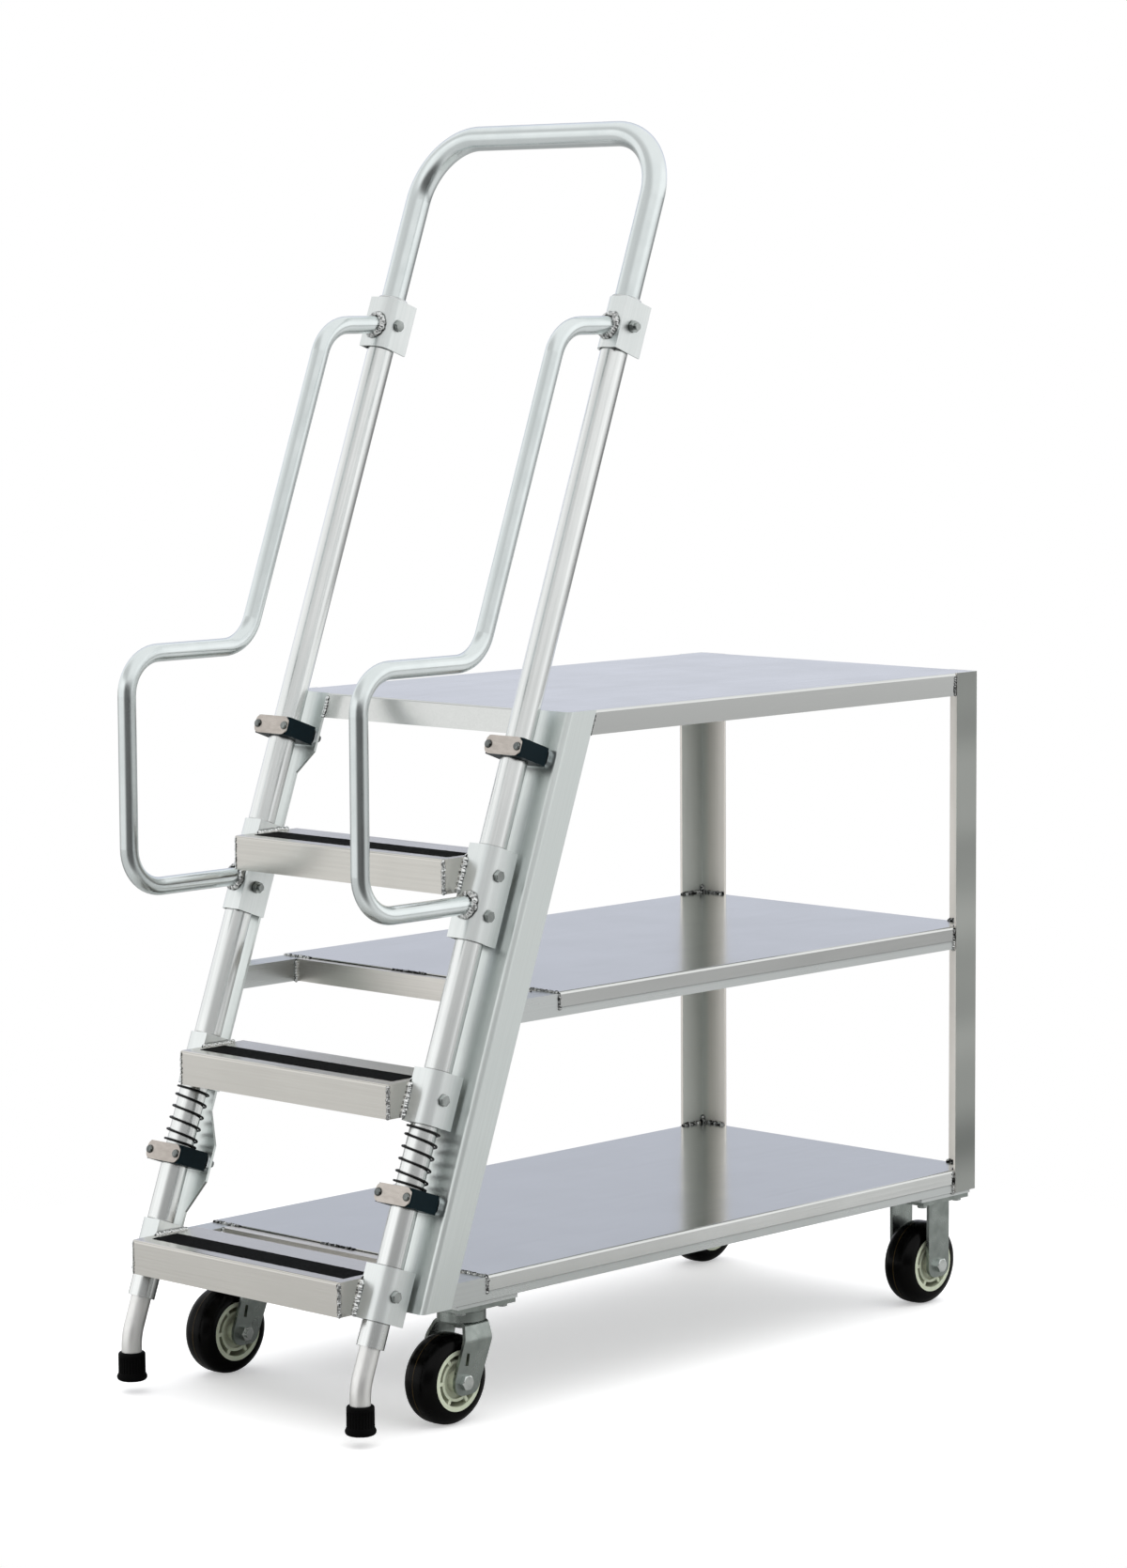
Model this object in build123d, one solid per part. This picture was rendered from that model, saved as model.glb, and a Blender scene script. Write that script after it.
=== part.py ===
from build123d import *
import os
from math import cos, radians, sin, tan

# Ladder cart: a welded aluminium trolley with three shelves and a step ladder on its front end.
# The ladder slides in plastic guides along its leaning rails, held up off the floor by two springs.
# Sizes are in millimetres. While modelling, x = 0 is the rear face and the ladder is at negative x,
# y = 0 is the middle of the cart, left is +y, and z = 0 is the floor. "Ladder coordinates" lean with
# the rails: x points behind the rail, z runs up its axis from the floor.

# Cart frame
cart_width = 556.0
lower_shelf_rise = 369.2
upper_shelf_rise = 379.9
deck_sheet = 2.5
sheet_inset = 1.2
deck_bend = 4.0
top_rim = 34.0
shelf_rim = 21.0
post_leg = 50.8
angle_sheet = 4.0
post_bend = 6.0
member_height = 31.75
member_width = 40.0
member_wall = 3.0
lower_stub = 47.0
middle_stub = 60.0
lower_pan_setback = 20.0
middle_pan_setback = 14.0

# Stringers, the two leaning angles that carry the ladder's guides
stringer_depth = 50.0
stringer_bend = 8.0
flange_past_rail = 7.5
lower_tab_half = 26.0
lower_tab_taper = 47.0
upper_tab_below = 20.0
upper_tab_taper = 33.0

# Ladder
rail_lean = 20.26
rail_foot_x = -1274.5
rail_inset = 48.0
rail_diameter = 38.1
rail_bore = 28.6
rail_below_bolt = 72.0
rail_past_bolt = 19.0
loop_diameter = 35.0
loop_wall = 3.0
loop_height = 265.5
loop_bend = 95.0

# Brackets that clamp the steps, handrails and loop to the rails
bracket_wall = 3.2
bracket_fit = 0.15
bracket_past_rail = 6.0
bracket_round = 20.0
short_bracket = 74.0
long_bracket = 131.5
lower_bracket_at = 212.0
middle_bracket_at = 480.5
upper_bracket_at = 763.0
top_bracket_at = 1572.0
upper_bolt_offset = 28.0

# Steps
step_ahead = 67.5
step_behind = 55.0
step_height = 47.6
step_wall = 3.2
step_edge = 4.0
lower_step_lift = 22.1
middle_step_lift = 23.7
upper_step_lift = 50.7
grip_width = 46.0
grip_ahead = 44.0
grip_end_margin = 16.0
grip_sheet = 1.0

# Handrails
handrail_diameter = 25.4
handrail_wall = 2.5
handrail_bend = 57.0
handrail_ahead = 112.0
handrail_top_lift = 2.3
handrail_low_drop = 10.8
handrail_rise = 325.0
handrail_reach = 220.7

# Legs and rubber tips
leg_fit = 0.1
leg_wall = 2.5
leg_insert = 95.0
leg_bend_z = 80.0
leg_bend = 90.0
tip_clearance = 17.0
tip_height = 40.0
tip_base = 8.0
tip_diameter = 38.0
tip_flare_diameter = 42.5
tip_flare_height = 6.0
tip_taper_height = 5.0
tip_foot_round = 5.0
tip_shoulder_round = 3.5

# Guide blocks, their plates and screws
upper_guide_below_top = 66.5
lower_guide_at = 343.0
guide_length = 26.0
guide_front_wall = 6.95
guide_rear_wall = 9.95
guide_round = 4.0
slide_clearance = 0.1
face_plate_sheet = 2.0
back_plate_sheet = 5.0
plate_corner = 9.0
screw_diameter = 6.0
screw_past_rail = 7.95
guide_past_screw = 6.0
screw_head = 11.0
screw_head_height = 3.2
screw_head_round = 2.0
screw_nut_across = 10.0
screw_nut_height = 5.0
screw_tail = 1.0

# Springs
spring_wire = 3.2
spring_clearance = 1.75
spring_turns = 6
spring_end_gap = 0.2

# Casters
wheel_diameter = 125.0
wheel_width = 53.0
tread_depth = 20.5
tread_flat_side = 0.5
core_rim = 6.5
core_recess = 0.5
core_web = 4.0
core_ribs = 6
core_rib_width = 5.0
rib_recess = 2.0
hub_ring_outer = 57.0
hub_ring_inner = 49.0
hub_ring_recess = 3.0
hub_face_recess = 8.0
hub_diameter = 30.0
bond_gap = 0.03
sleeve_diameter = 17.0
wheel_inset = 57.0
caster_head = 42.0
caster_sheet = 6.0
caster_length = 106.0
caster_width = 102.0
pad_sheet = 6.0
pad_length = 114.0
plate_bolt_edge = 13.0
swivel_behind_member = 23.0
swivel_trail = 32.0
rear_pad_margin = 9.0
race_diameter = 67.0
race_height = 7.5
race_gap = 0.4
ball_diameter = 6.0
ball_ring_diameter = 50.0
ball_count = 16
ball_play = 0.1
crown_height = 13.0
kingpin_diameter = 12.0
kingpin_head_across = 19.0
kingpin_head_height = 7.0
fork_side_gap = 6.5
fork_sheet = 5.0
fork_width = 47.0
fork_end_drop = 18.0
fork_end_round = 16.0
fork_end_behind = 5.0
fork_neck = 44.0
fork_knee_radius = 14.0
fork_knee_drop = 8.0
fork_knee_behind = 6.5
fork_web = 57.0
fork_web_bend = 9.0
fork_shoulder = 21.0
fork_shoulder_bend = 20.0
fork_slot_width = 5.5
fork_slot_length = 17.0
fork_slot_above = 30.3
fork_slot_behind = 5.4
fork_slot_tilt = 12.0
hub_play = 0.6
running_fit = 0.1

# Hexagon fasteners: diameter, across flats, head height, nut height, thread past the nut
ladder_bolt = (9.5, 14.3, 6.0, 8.0, 4.0)
axle_bolt = (12.0, 19.0, 7.5, 10.0, 3.0)
plate_bolt = (8.0, 13.0, 5.3)
bolt_clearance = 0.3
thread_fit = 0.05
chamfer_share = 0.47
chamfer_angle = 30.0

# Derived levels and places
half_width = cart_width / 2
lean = radians(rail_lean)
rail_y = half_width - rail_inset
sheet_half = half_width - sheet_inset
member_outer_y = half_width - angle_sheet
member_inner_y = member_outer_y - member_width
caster_height = wheel_diameter + caster_head
frame_bottom = caster_height + pad_sheet
bottom_deck = frame_bottom + member_height + deck_sheet
middle_deck = bottom_deck + lower_shelf_rise
top_deck = middle_deck + upper_shelf_rise
guide_front = rail_diameter / 2 + guide_front_wall
guide_behind = rail_diameter / 2 + guide_rear_wall
screw_offset = rail_diameter / 2 + screw_past_rail
guide_half_width = screw_offset + guide_past_screw
flange_front = guide_behind + back_plate_sheet
flange_back = flange_front + angle_sheet
stringer_rear = flange_front + stringer_depth
flange_top = (top_deck + flange_front * sin(lean)) / cos(lean)
upper_guide_at = flange_top - upper_guide_below_top
rail_start = lower_bracket_at - rail_below_bolt
rail_end = top_bracket_at + rail_past_bolt
bracket_half = rail_diameter / 2 + bracket_fit + bracket_wall
bracket_rear = bracket_half + bracket_past_rail
step_half = rail_y - bracket_half
wheel_y = half_width - wheel_inset
axle_z = wheel_diameter / 2
rigid_axle_x = -pad_length / 2 - rear_pad_margin
fork_gap = wheel_width + 2 * fork_side_gap
to_ladder = Pos(rail_foot_x, 0, 0) * Rot(0, rail_lean, 0)
reach = 4 * cart_width


def leaning_x(z, behind):
    """The x at height z of the leaning plane that stands this far behind the rail axis."""
    return rail_foot_x + z * tan(lean) + behind / cos(lean)


def slab(x_span, y_span, z_span):
    """A box between two values on each axis."""
    spans = (x_span, y_span, z_span)
    middle = [(low + high) / 2 for low, high in spans]
    sizes = [high - low for low, high in spans]
    return Pos(*middle) * Box(*sizes)


def side_prism(points, y_span):
    """A prism across the cart between two y values, from an outline of (x, z) points."""
    outline = Plane.XZ * make_face(Polyline(*points, close=True))
    return Pos(0, y_span[0], 0) * extrude(outline, amount=y_span[1] - y_span[0], dir=(0, 1, 0))


def other_side(shape):
    """The mirror image of a left-hand piece."""
    return mirror(shape, about=Plane.XZ)


def both(shape):
    """A left-hand piece together with its mirror image."""
    return shape + other_side(shape)


def corner(section, x, y):
    """The vertex of a section nearest to a point."""
    return section.vertices().sort_by_distance((x, y, 0))[0]


def angle_section(leg_x, leg_y, sheet, bend):
    """A bent angle's section, its outer corner at the origin and its legs along -x and -y."""
    outer = Pos(-leg_x / 2, -leg_y / 2) * Rectangle(leg_x, leg_y)
    inner = Pos(-leg_x / 2 - sheet, -leg_y / 2 - sheet) * Rectangle(leg_x, leg_y)
    section = outer - inner
    section = fillet(corner(section, 0, 0), bend)
    return fillet(corner(section, -sheet, -sheet), bend - sheet)


def tube(path, outer, inner):
    """A round tube along a path."""
    skin = sweep((path ^ 0) * Circle(outer / 2), path=path)
    bore = sweep((path ^ 0) * Circle(inner / 2), path=path)
    return skin - bore


def hexagon(across, height):
    """A hexagon head or nut standing on z = 0, its outer corners turned off."""
    prism = extrude(RegularPolygon(across / 2, 6, major_radius=False), amount=height)
    top_radius = chamfer_share * across
    bottom_radius = top_radius + height / tan(radians(chamfer_angle))
    return prism & Pos(0, 0, height / 2) * Cone(bottom_radius, top_radius, height)


def bolt_and_nut(sizes, grip):
    """A bolt whose head stands on z = 0 and whose shank runs down through grip, and its nut."""
    diameter, across, head_height, nut_height, tail = sizes
    length = grip + nut_height + tail
    bolt = hexagon(across, head_height) + Pos(0, 0, -length / 2) * Cylinder(diameter / 2, length)
    nut = hexagon(across, nut_height) - Cylinder(diameter / 2 + thread_fit, 3 * nut_height)
    return bolt, Pos(0, 0, -grip) * Rot(180, 0, 0) * nut


def cross_hole(x, y, z, diameter, length):
    """A cutter along y."""
    return Pos(x, y, z) * Rot(90, 0, 0) * Cylinder(diameter / 2, length)


nodes = {}


def add_pair(name, left):
    """Adds a left-hand piece and its mirror image."""
    nodes[name + "_left"] = left
    nodes[name + "_right"] = other_side(left)


def add_group(name, left_pieces):
    """Adds one node with left-hand pieces and their mirror images."""
    nodes[name] = Compound(list(left_pieces) + [other_side(piece) for piece in left_pieces])


# Rear posts: equal angles at the two rear corners, flush with the top deck
post_section = Pos(0, half_width) * angle_section(post_leg, post_leg, angle_sheet, post_bend)
post = Pos(0, 0, frame_bottom) * extrude(post_section, amount=top_deck - frame_bottom)
add_pair("rear_post", post)


def post_notches(z_span):
    """The room that both rear posts take up, with square outer corners."""
    side_leg = slab((-post_leg, 0), (half_width - angle_sheet, half_width), z_span)
    rear_leg = slab((-angle_sheet, 0), (half_width - post_leg, half_width), z_span)
    return both(side_leg + rear_leg + post)


# Stringers: bent angles that lean with the rails, with wide tabs behind the guide blocks
stock_length = (top_deck + stringer_rear * sin(lean)) / cos(lean)
flange_width = rail_inset + flange_past_rail
stringer_section = angle_section(stringer_depth, flange_width, angle_sheet, stringer_bend)
stringer_section = mirror(stringer_section, about=Plane.YZ)
stringer_stock = extrude(Pos(flange_front, half_width) * stringer_section, amount=stock_length)
narrow_y = rail_y - flange_past_rail
wide_y = rail_y - guide_half_width
lower_wide = (lower_guide_at - lower_tab_half, lower_guide_at + lower_tab_half)
upper_wide = upper_guide_at - upper_tab_below
lower_tab_points = (
    (narrow_y, lower_wide[0] - lower_tab_taper),
    (wide_y, lower_wide[0]),
    (wide_y, lower_wide[1]),
    (narrow_y, lower_wide[1] + lower_tab_taper),
)
upper_tab_points = (
    (narrow_y, upper_wide - upper_tab_taper),
    (wide_y, upper_wide),
    (wide_y, stock_length),
    (narrow_y, stock_length),
)
for tab_points in (lower_tab_points, upper_tab_points):
    tab = Plane.YZ * make_face(Polyline(*tab_points, close=True))
    stringer_stock += Pos(flange_front, 0, 0) * extrude(tab, amount=angle_sheet, dir=(1, 0, 0))
for guide_at in (lower_guide_at, upper_guide_at):
    for side in (-1, 1):
        screw_hole = Rot(0, 90, 0) * Cylinder(screw_diameter / 2 + bolt_clearance, 3 * flange_back)
        stringer_stock -= Pos(flange_front, rail_y + side * screw_offset, guide_at) * screw_hole
stringer = (to_ladder * stringer_stock) & slab((-reach, 0), (0, half_width), (frame_bottom, top_deck))
add_pair("stringer", stringer)


def stringer_notches():
    """The room that both stringers take up beside the top deck, with square outer corners."""
    run = (0, 2 * stock_length)
    flange = slab((flange_front - deck_bend, flange_back), (wide_y, half_width), run)
    side_leg = slab((flange_front, stringer_rear), (half_width - angle_sheet, half_width), run)
    return both(to_ladder * (flange + side_leg) + stringer)


# Top deck: a tray turned upside down, its front rim leaning in line with the stringers' flanges.
# Like the pans, it stands a little inside the posts and stringers, which leaves room for weld beads.
def deck_outline(top, bottom, front, rear):
    """The side outline of the top deck between two levels, with a leaning front."""
    return ((leaning_x(top, front), top), (rear, top), (rear, bottom), (leaning_x(bottom, front), bottom))


deck_skin = side_prism(
    deck_outline(top_deck, top_deck - top_rim, flange_front, -sheet_inset), (-sheet_half, sheet_half))
deck_skin = fillet(deck_skin.faces().sort_by(Axis.Z)[-1].edges(), deck_bend)
hollow_rear = -sheet_inset - deck_sheet
hollow_y = (-sheet_half + deck_sheet, sheet_half - deck_sheet)
hollow_top = top_deck - deck_sheet
deck_hollow = side_prism(
    deck_outline(hollow_top, top_deck - 2 * top_rim, flange_front + deck_sheet, hollow_rear), hollow_y)
deck_levels = (top_deck - 2 * top_rim, top_deck + top_rim)
nodes["top_deck"] = deck_skin - deck_hollow - post_notches(deck_levels) - stringer_notches()


# Middle and bottom shelves: a folded pan over two side members and two cross members of box tube
def shelf(name, deck, stub, pan_setback):
    """Adds a shelf's pan and members, and returns the x of its front cross member's front face."""
    member_span = (deck - deck_sheet - member_height, deck - deck_sheet)
    wall_span = (member_span[0] + member_wall, member_span[1] - member_wall)
    cross_x = leaning_x(sum(member_span) / 2, stringer_rear) + stub
    pan_front = cross_x + pan_setback

    skin = slab((pan_front, -sheet_inset), (-sheet_half, sheet_half), (deck - shelf_rim, deck))
    skin_top = skin.faces().sort_by(Axis.Z)[-1].edges()
    skin = fillet(skin_top.sort_by(Axis.X)[1:], deck_bend)
    hollow_z = (deck - 2 * shelf_rim, deck - deck_sheet)
    hollow = slab((pan_front - shelf_rim, hollow_rear), hollow_y, hollow_z)
    nodes[name + "_pan"] = skin - hollow - post_notches((deck - 2 * shelf_rim, deck + shelf_rim))

    def member_outline(levels):
        """The outline of a side member, its front end leaning against the stringer's flange."""
        low, high = levels
        front_low = leaning_x(low, flange_back)
        front_high = leaning_x(high, flange_back)
        return ((front_high, high), (-angle_sheet, high), (-angle_sheet, low), (front_low, low))

    side_member = side_prism(member_outline(member_span), (member_inner_y, member_outer_y))
    side_bore = side_prism(
        member_outline(wall_span), (member_inner_y + member_wall, member_outer_y - member_wall))
    add_pair(name + "_side_member", side_member - side_bore - post - stringer)

    cross_members = []
    for front in (cross_x, -angle_sheet - member_width):
        back = front + member_width
        bar = slab((front, back), (-member_inner_y, member_inner_y), member_span)
        bore = slab((front + member_wall, back - member_wall), (-half_width, half_width), wall_span)
        cross_members.append(bar - bore)
    nodes[name + "_cross_members"] = Compound(cross_members)
    return cross_x


bottom_cross_x = shelf("bottom", bottom_deck, lower_stub, lower_pan_setback)
shelf("middle", middle_deck, middle_stub, middle_pan_setback)
swivel_x = bottom_cross_x + swivel_behind_member


# Caster pads and plate bolts: each caster bolts up into a thick pad welded under the frame
def bolt_places(x):
    """The four bolt places of a left-hand caster plate centred at x."""
    spacing_x = caster_length - 2 * plate_bolt_edge
    spacing_y = caster_width - 2 * plate_bolt_edge
    return Pos(x, wheel_y, 0) * GridLocations(spacing_x, spacing_y, 2, 2)


bolt_diameter, bolt_across, bolt_head_height = plate_bolt
plate_bottom = caster_height - caster_sheet
plate_hole = Cylinder(bolt_diameter / 2 + bolt_clearance, 4 * caster_height)
pads = []
plate_bolts = []
for caster_x in (swivel_x, rigid_axle_x):
    pad_x = (caster_x - pad_length / 2, caster_x + pad_length / 2)
    pad_y = (wheel_y - caster_width / 2, wheel_y + caster_width / 2)
    pad = slab(pad_x, pad_y, (caster_height, frame_bottom))
    for place in bolt_places(caster_x):
        pad -= place * plate_hole
        shank_length = frame_bottom - plate_bottom
        shank = Pos(0, 0, plate_bottom + shank_length / 2) * Cylinder(bolt_diameter / 2, shank_length)
        head = Pos(0, 0, plate_bottom) * Rot(180, 0, 0) * hexagon(bolt_across, bolt_head_height)
        plate_bolts.append(place * (head + shank))
    pads.append(pad)
add_group("caster_pads", pads)
add_group("caster_plate_bolts", plate_bolts)


def caster_plate(x):
    """A left-hand caster's top plate with its four bolt holes."""
    plate_x = (x - caster_length / 2, x + caster_length / 2)
    plate_y = (wheel_y - caster_width / 2, wheel_y + caster_width / 2)
    plate = slab(plate_x, plate_y, (plate_bottom, caster_height))
    for place in bolt_places(x):
        plate -= place * plate_hole
    return plate


# Swivel casters: a fixed plate with a race and kingpin, and a fork that turns under it
def column(x, diameter, z_span):
    """A round piece on a left-hand caster's upright axis."""
    return Pos(x, wheel_y, sum(z_span) / 2) * Cylinder(diameter / 2, z_span[1] - z_span[0])


race_bottom = plate_bottom - race_height
crown_top = race_bottom - race_gap
crown_bottom = crown_top - crown_height
pin_bottom = crown_bottom - fork_sheet - race_gap
pin_head = Rot(180, 0, 0) * hexagon(kingpin_head_across, kingpin_head_height)
race_middle = Pos(swivel_x, wheel_y, race_bottom - race_gap / 2)
ball_groove = race_middle * Torus(ball_ring_diameter / 2, ball_diameter / 2 + ball_play)
swivel_plate = caster_plate(swivel_x) + column(swivel_x, race_diameter, (race_bottom, plate_bottom))
swivel_plate += column(swivel_x, kingpin_diameter, (pin_bottom, race_bottom))
swivel_plate += Pos(swivel_x, wheel_y, pin_bottom) * pin_head
add_pair("swivel_plate", swivel_plate - ball_groove)
ball_places = race_middle * PolarLocations(ball_ring_diameter / 2, ball_count)
add_group("swivel_balls", [place * Sphere(ball_diameter / 2) for place in ball_places])


def fork_legs(outline):
    """Two upright fork legs of one outline, either side of the wheel, with their axle holes."""
    legs = []
    for side in (-1, 1):
        inner_y = wheel_y + side * fork_gap / 2
        outer_y = inner_y + side * fork_sheet
        face = Plane.XZ * outline
        legs.append(Pos(0, min(inner_y, outer_y), 0) * extrude(face, amount=fork_sheet, dir=(0, 1, 0)))
    return legs[0] + legs[1]


axle_hole_diameter = axle_bolt[0] + 2 * running_fit
axle_x = swivel_x - swivel_trail
neck = Pos(swivel_x, crown_bottom - fork_sheet / 2) * Rectangle(fork_neck, fork_sheet)
leg_end_section = RectangleRounded(fork_width, 2 * fork_end_drop, fork_end_round)
leg_end = Pos(axle_x + fork_end_behind, axle_z) * leg_end_section
knee = Pos(swivel_x + fork_knee_behind, wheel_diameter - fork_knee_drop) * Circle(fork_knee_radius)
swivel_outline = make_hull(neck.edges() + knee.edges() + leg_end.edges())
slot_place = Pos(axle_x + fork_slot_behind, axle_z + fork_slot_above) * Rot(0, 0, -fork_slot_tilt)
swivel_outline -= slot_place * Rectangle(fork_slot_width, fork_slot_length)
swivel_outline -= Pos(axle_x, axle_z) * Circle(axle_hole_diameter / 2)
fork_half = fork_gap / 2 + fork_sheet
fork_shoulder_z = crown_bottom - fork_shoulder
bent_points = (
    (-fork_web / 2, crown_bottom),
    (fork_web / 2, crown_bottom),
    (fork_half, fork_shoulder_z),
    (fork_half, -fork_sheet),
    (-fork_half, -fork_sheet),
    (-fork_half, fork_shoulder_z),
)
bent_outside = make_face(Polyline(*bent_points, close=True))
bent_outside = fillet(bent_outside.vertices().group_by(Axis.Y)[1], fork_shoulder_bend)
bent_outside = fillet(bent_outside.vertices().group_by(Axis.Y)[-1], fork_web_bend)
bent_strip = extrude(Plane.YZ * (bent_outside - offset(bent_outside, -fork_sheet)), amount=reach, both=True)
side_view = extrude(Plane.XZ * swivel_outline, amount=reach, both=True)
bent_fork = Pos(0, wheel_y, 0) * bent_strip & side_view
fork_crown = column(swivel_x, race_diameter, (crown_bottom, crown_top))
pin_hole = column(swivel_x, kingpin_diameter + 2 * running_fit, (0, caster_height))
add_pair("swivel_fork", bent_fork + fork_crown - pin_hole - ball_groove)

# Rigid casters: straight fork legs welded to the plate
leg_length = plate_bottom - axle_z
leg_strip = Pos(rigid_axle_x, axle_z + leg_length / 2) * Rectangle(fork_width, leg_length)
rigid_outline = leg_strip + Pos(rigid_axle_x, axle_z) * leg_end_section
rigid_outline -= Pos(rigid_axle_x, axle_z) * Circle(axle_hole_diameter / 2)
add_pair("rigid_fork", fork_legs(rigid_outline) + caster_plate(rigid_axle_x))

# Axles: a bolt clamps a sleeve between the fork legs, its head outboard, and the wheel turns on the sleeve
fork_outside = fork_gap + 2 * fork_sheet


def axle(x):
    """A left-hand caster's axle bolt, nut and sleeve."""
    place = Pos(x, wheel_y + fork_outside / 2, axle_z) * Rot(-90, 0, 0)
    sleeve = Cylinder(sleeve_diameter / 2, fork_gap) - Cylinder(axle_hole_diameter / 2, 2 * fork_gap)
    pieces = [*bolt_and_nut(axle_bolt, fork_outside), Pos(0, 0, -fork_outside / 2) * sleeve]
    return [place * piece for piece in pieces]


add_pair("swivel_axle", Compound(axle(axle_x)))
add_group("rigid_axles", axle(rigid_axle_x))

# Wheels: a moulded core, its pockets parted by ribs, and a round tread bonded over it
hub_half = (fork_gap - hub_play) / 2
hub_bore = sleeve_diameter / 2 + running_fit
core_radius = wheel_diameter / 2 - tread_depth
rim_radius = core_radius - core_rim
rim_half = wheel_width / 2 - core_recess
ring_half = wheel_width / 2 - hub_ring_recess
face_half = wheel_width / 2 - hub_face_recess
half_core = (
    (hub_bore, 0),
    (core_radius, 0),
    (core_radius, rim_half),
    (rim_radius, rim_half),
    (rim_radius, core_web / 2),
    (hub_ring_outer / 2, core_web / 2),
    (hub_ring_outer / 2, ring_half),
    (hub_ring_inner / 2, ring_half),
    (hub_ring_inner / 2, face_half),
    (hub_diameter / 2, face_half),
    (hub_diameter / 2, hub_half),
    (hub_bore, hub_half),
)
core_half = revolve(Plane.XZ * make_face(Polyline(*half_core, close=True)), Axis.Z)
core = core_half + mirror(core_half, about=Plane.XY)
rib_span = ((hub_ring_inner + hub_ring_outer) / 4, core_radius - core_rim / 2)
rib_half = rim_half - rib_recess
rib = slab(rib_span, (-core_rib_width / 2, core_rib_width / 2), (-rib_half, rib_half))
for turn in range(core_ribs):
    core += Rot(0, 0, turn * 360 / core_ribs) * rib
tread_inner = core_radius + bond_gap
tread_thickness = wheel_diameter / 2 - tread_inner
tread_section = Pos(tread_inner + tread_thickness / 2, 0) * Rectangle(tread_thickness, wheel_width)
tread_section = fillet(tread_section.vertices().sort_by(Axis.X)[2:], tread_depth - tread_flat_side)
tread = revolve(Plane.XZ * tread_section, Axis.Z)
for name, x in (("front", axle_x), ("rear", rigid_axle_x)):
    at_axle = Pos(x, wheel_y, axle_z) * Rot(90, 0, 0)
    add_pair(name + "_wheel_core", at_axle * core)
    add_pair(name + "_wheel_tread", at_axle * tread)

# Guide blocks, plates and screws: the rails slide in bored blocks screwed to the stringers' flanges
guide_section = RectangleRounded(guide_front + guide_behind, 2 * guide_half_width, guide_round)
guide_section = Pos((guide_behind - guide_front) / 2, rail_y) * guide_section
guide_section -= Pos(0, rail_y) * Circle(rail_diameter / 2 + slide_clearance)
plate_outline = RectangleRounded(guide_length, 2 * guide_half_width, plate_corner)
screw_ends = (-guide_front - face_plate_sheet, flange_back + screw_nut_height + screw_tail)


def along_screw(y, z, diameter, x_span):
    """A round piece along a guide screw, in ladder coordinates."""
    cylinder = Rot(0, 90, 0) * Cylinder(diameter / 2, x_span[1] - x_span[0])
    return Pos(sum(x_span) / 2, y, z) * cylinder


face_plates = []
back_plates = []
guide_screws = []
for name, guide_at in (("lower", lower_guide_at), ("upper", upper_guide_at)):
    guide = Pos(0, 0, guide_at - guide_length / 2) * extrude(guide_section, amount=guide_length)
    plate_place = Pos(0, rail_y, guide_at) * Rot(0, 90, 0)
    face_plate = plate_place * Pos(0, 0, screw_ends[0]) * extrude(plate_outline, amount=face_plate_sheet)
    back_plate = plate_place * Pos(0, 0, guide_behind) * extrude(plate_outline, amount=back_plate_sheet)
    for side in (-1, 1):
        y = rail_y + side * screw_offset
        hole = along_screw(y, guide_at, screw_diameter + 2 * bolt_clearance, (-flange_back, flange_back))
        guide -= hole
        face_plate -= hole
        back_plate -= hole
        head = along_screw(y, guide_at, screw_head, (screw_ends[0] - screw_head_height, screw_ends[0]))
        head = fillet(head.faces().sort_by(Axis.X)[0].edges(), screw_head_round)
        screw = head + along_screw(y, guide_at, screw_diameter, screw_ends)
        nut = hexagon(screw_nut_across, screw_nut_height)
        nut -= Cylinder(screw_diameter / 2 + thread_fit, 3 * screw_nut_height)
        nut = Pos(flange_back, y, guide_at) * Rot(0, 90, 0) * nut
        guide_screws += [to_ladder * screw, to_ladder * nut]
    add_pair(name + "_guide_block", to_ladder * guide)
    face_plates.append(to_ladder * face_plate)
    back_plates.append(to_ladder * back_plate)
add_group("guide_face_plates", face_plates)
add_group("guide_back_plates", back_plates)
add_group("guide_screws", guide_screws)

# Springs: open coils round the rails, between the lower guide blocks and the middle step's brackets
spring_bottom = lower_guide_at + guide_length / 2 + spring_end_gap + spring_wire / 2
spring_top = middle_bracket_at - short_bracket / 2 - spring_end_gap - spring_wire / 2
spring_height = spring_top - spring_bottom
spring_radius = rail_diameter / 2 + spring_clearance + spring_wire / 2
coil = Helix(spring_height / spring_turns, spring_height, spring_radius)
spring = sweep((coil ^ 0) * Circle(spring_wire / 2), path=coil, is_frenet=True)
add_pair("spring", to_ladder * Pos(0, rail_y, spring_bottom) * spring)

# Rails, and the bolts that pin every bracket through them
step_rows = (
    ("lower", lower_bracket_at, short_bracket, lower_step_lift, ((0, True),)),
    ("middle", middle_bracket_at, short_bracket, middle_step_lift, ((0, True),)),
    ("upper", upper_bracket_at, long_bracket, upper_step_lift,
     ((-upper_bolt_offset, False), (upper_bolt_offset, True))),
)
bolt_hole = ladder_bolt[0] + 2 * bolt_clearance
bolt_rows = [top_bracket_at]
for _, centre, _, _, bolts in step_rows:
    bolt_rows += [centre + along for along, _ in bolts]
rail = Cylinder(rail_diameter / 2, rail_end - rail_start) - Cylinder(rail_bore / 2, 2 * rail_end)
rail = Pos(0, rail_y, (rail_start + rail_end) / 2) * rail
for bolt_at in bolt_rows:
    rail -= cross_hole(0, rail_y, bolt_at, bolt_hole, 2 * rail_diameter)
add_pair("rail", to_ladder * rail)

# Handle loop: one bent tube that stands on the rails' ends inside the top brackets
loop_bar = rail_end + loop_height
loop_points = ((0, -rail_y, rail_end), (0, -rail_y, loop_bar), (0, rail_y, loop_bar), (0, rail_y, rail_end))
loop_path = FilletPolyline(*loop_points, radius=loop_bend)
nodes["handle_loop"] = to_ladder * tube(loop_path, loop_diameter, loop_diameter - 2 * loop_wall)


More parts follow.
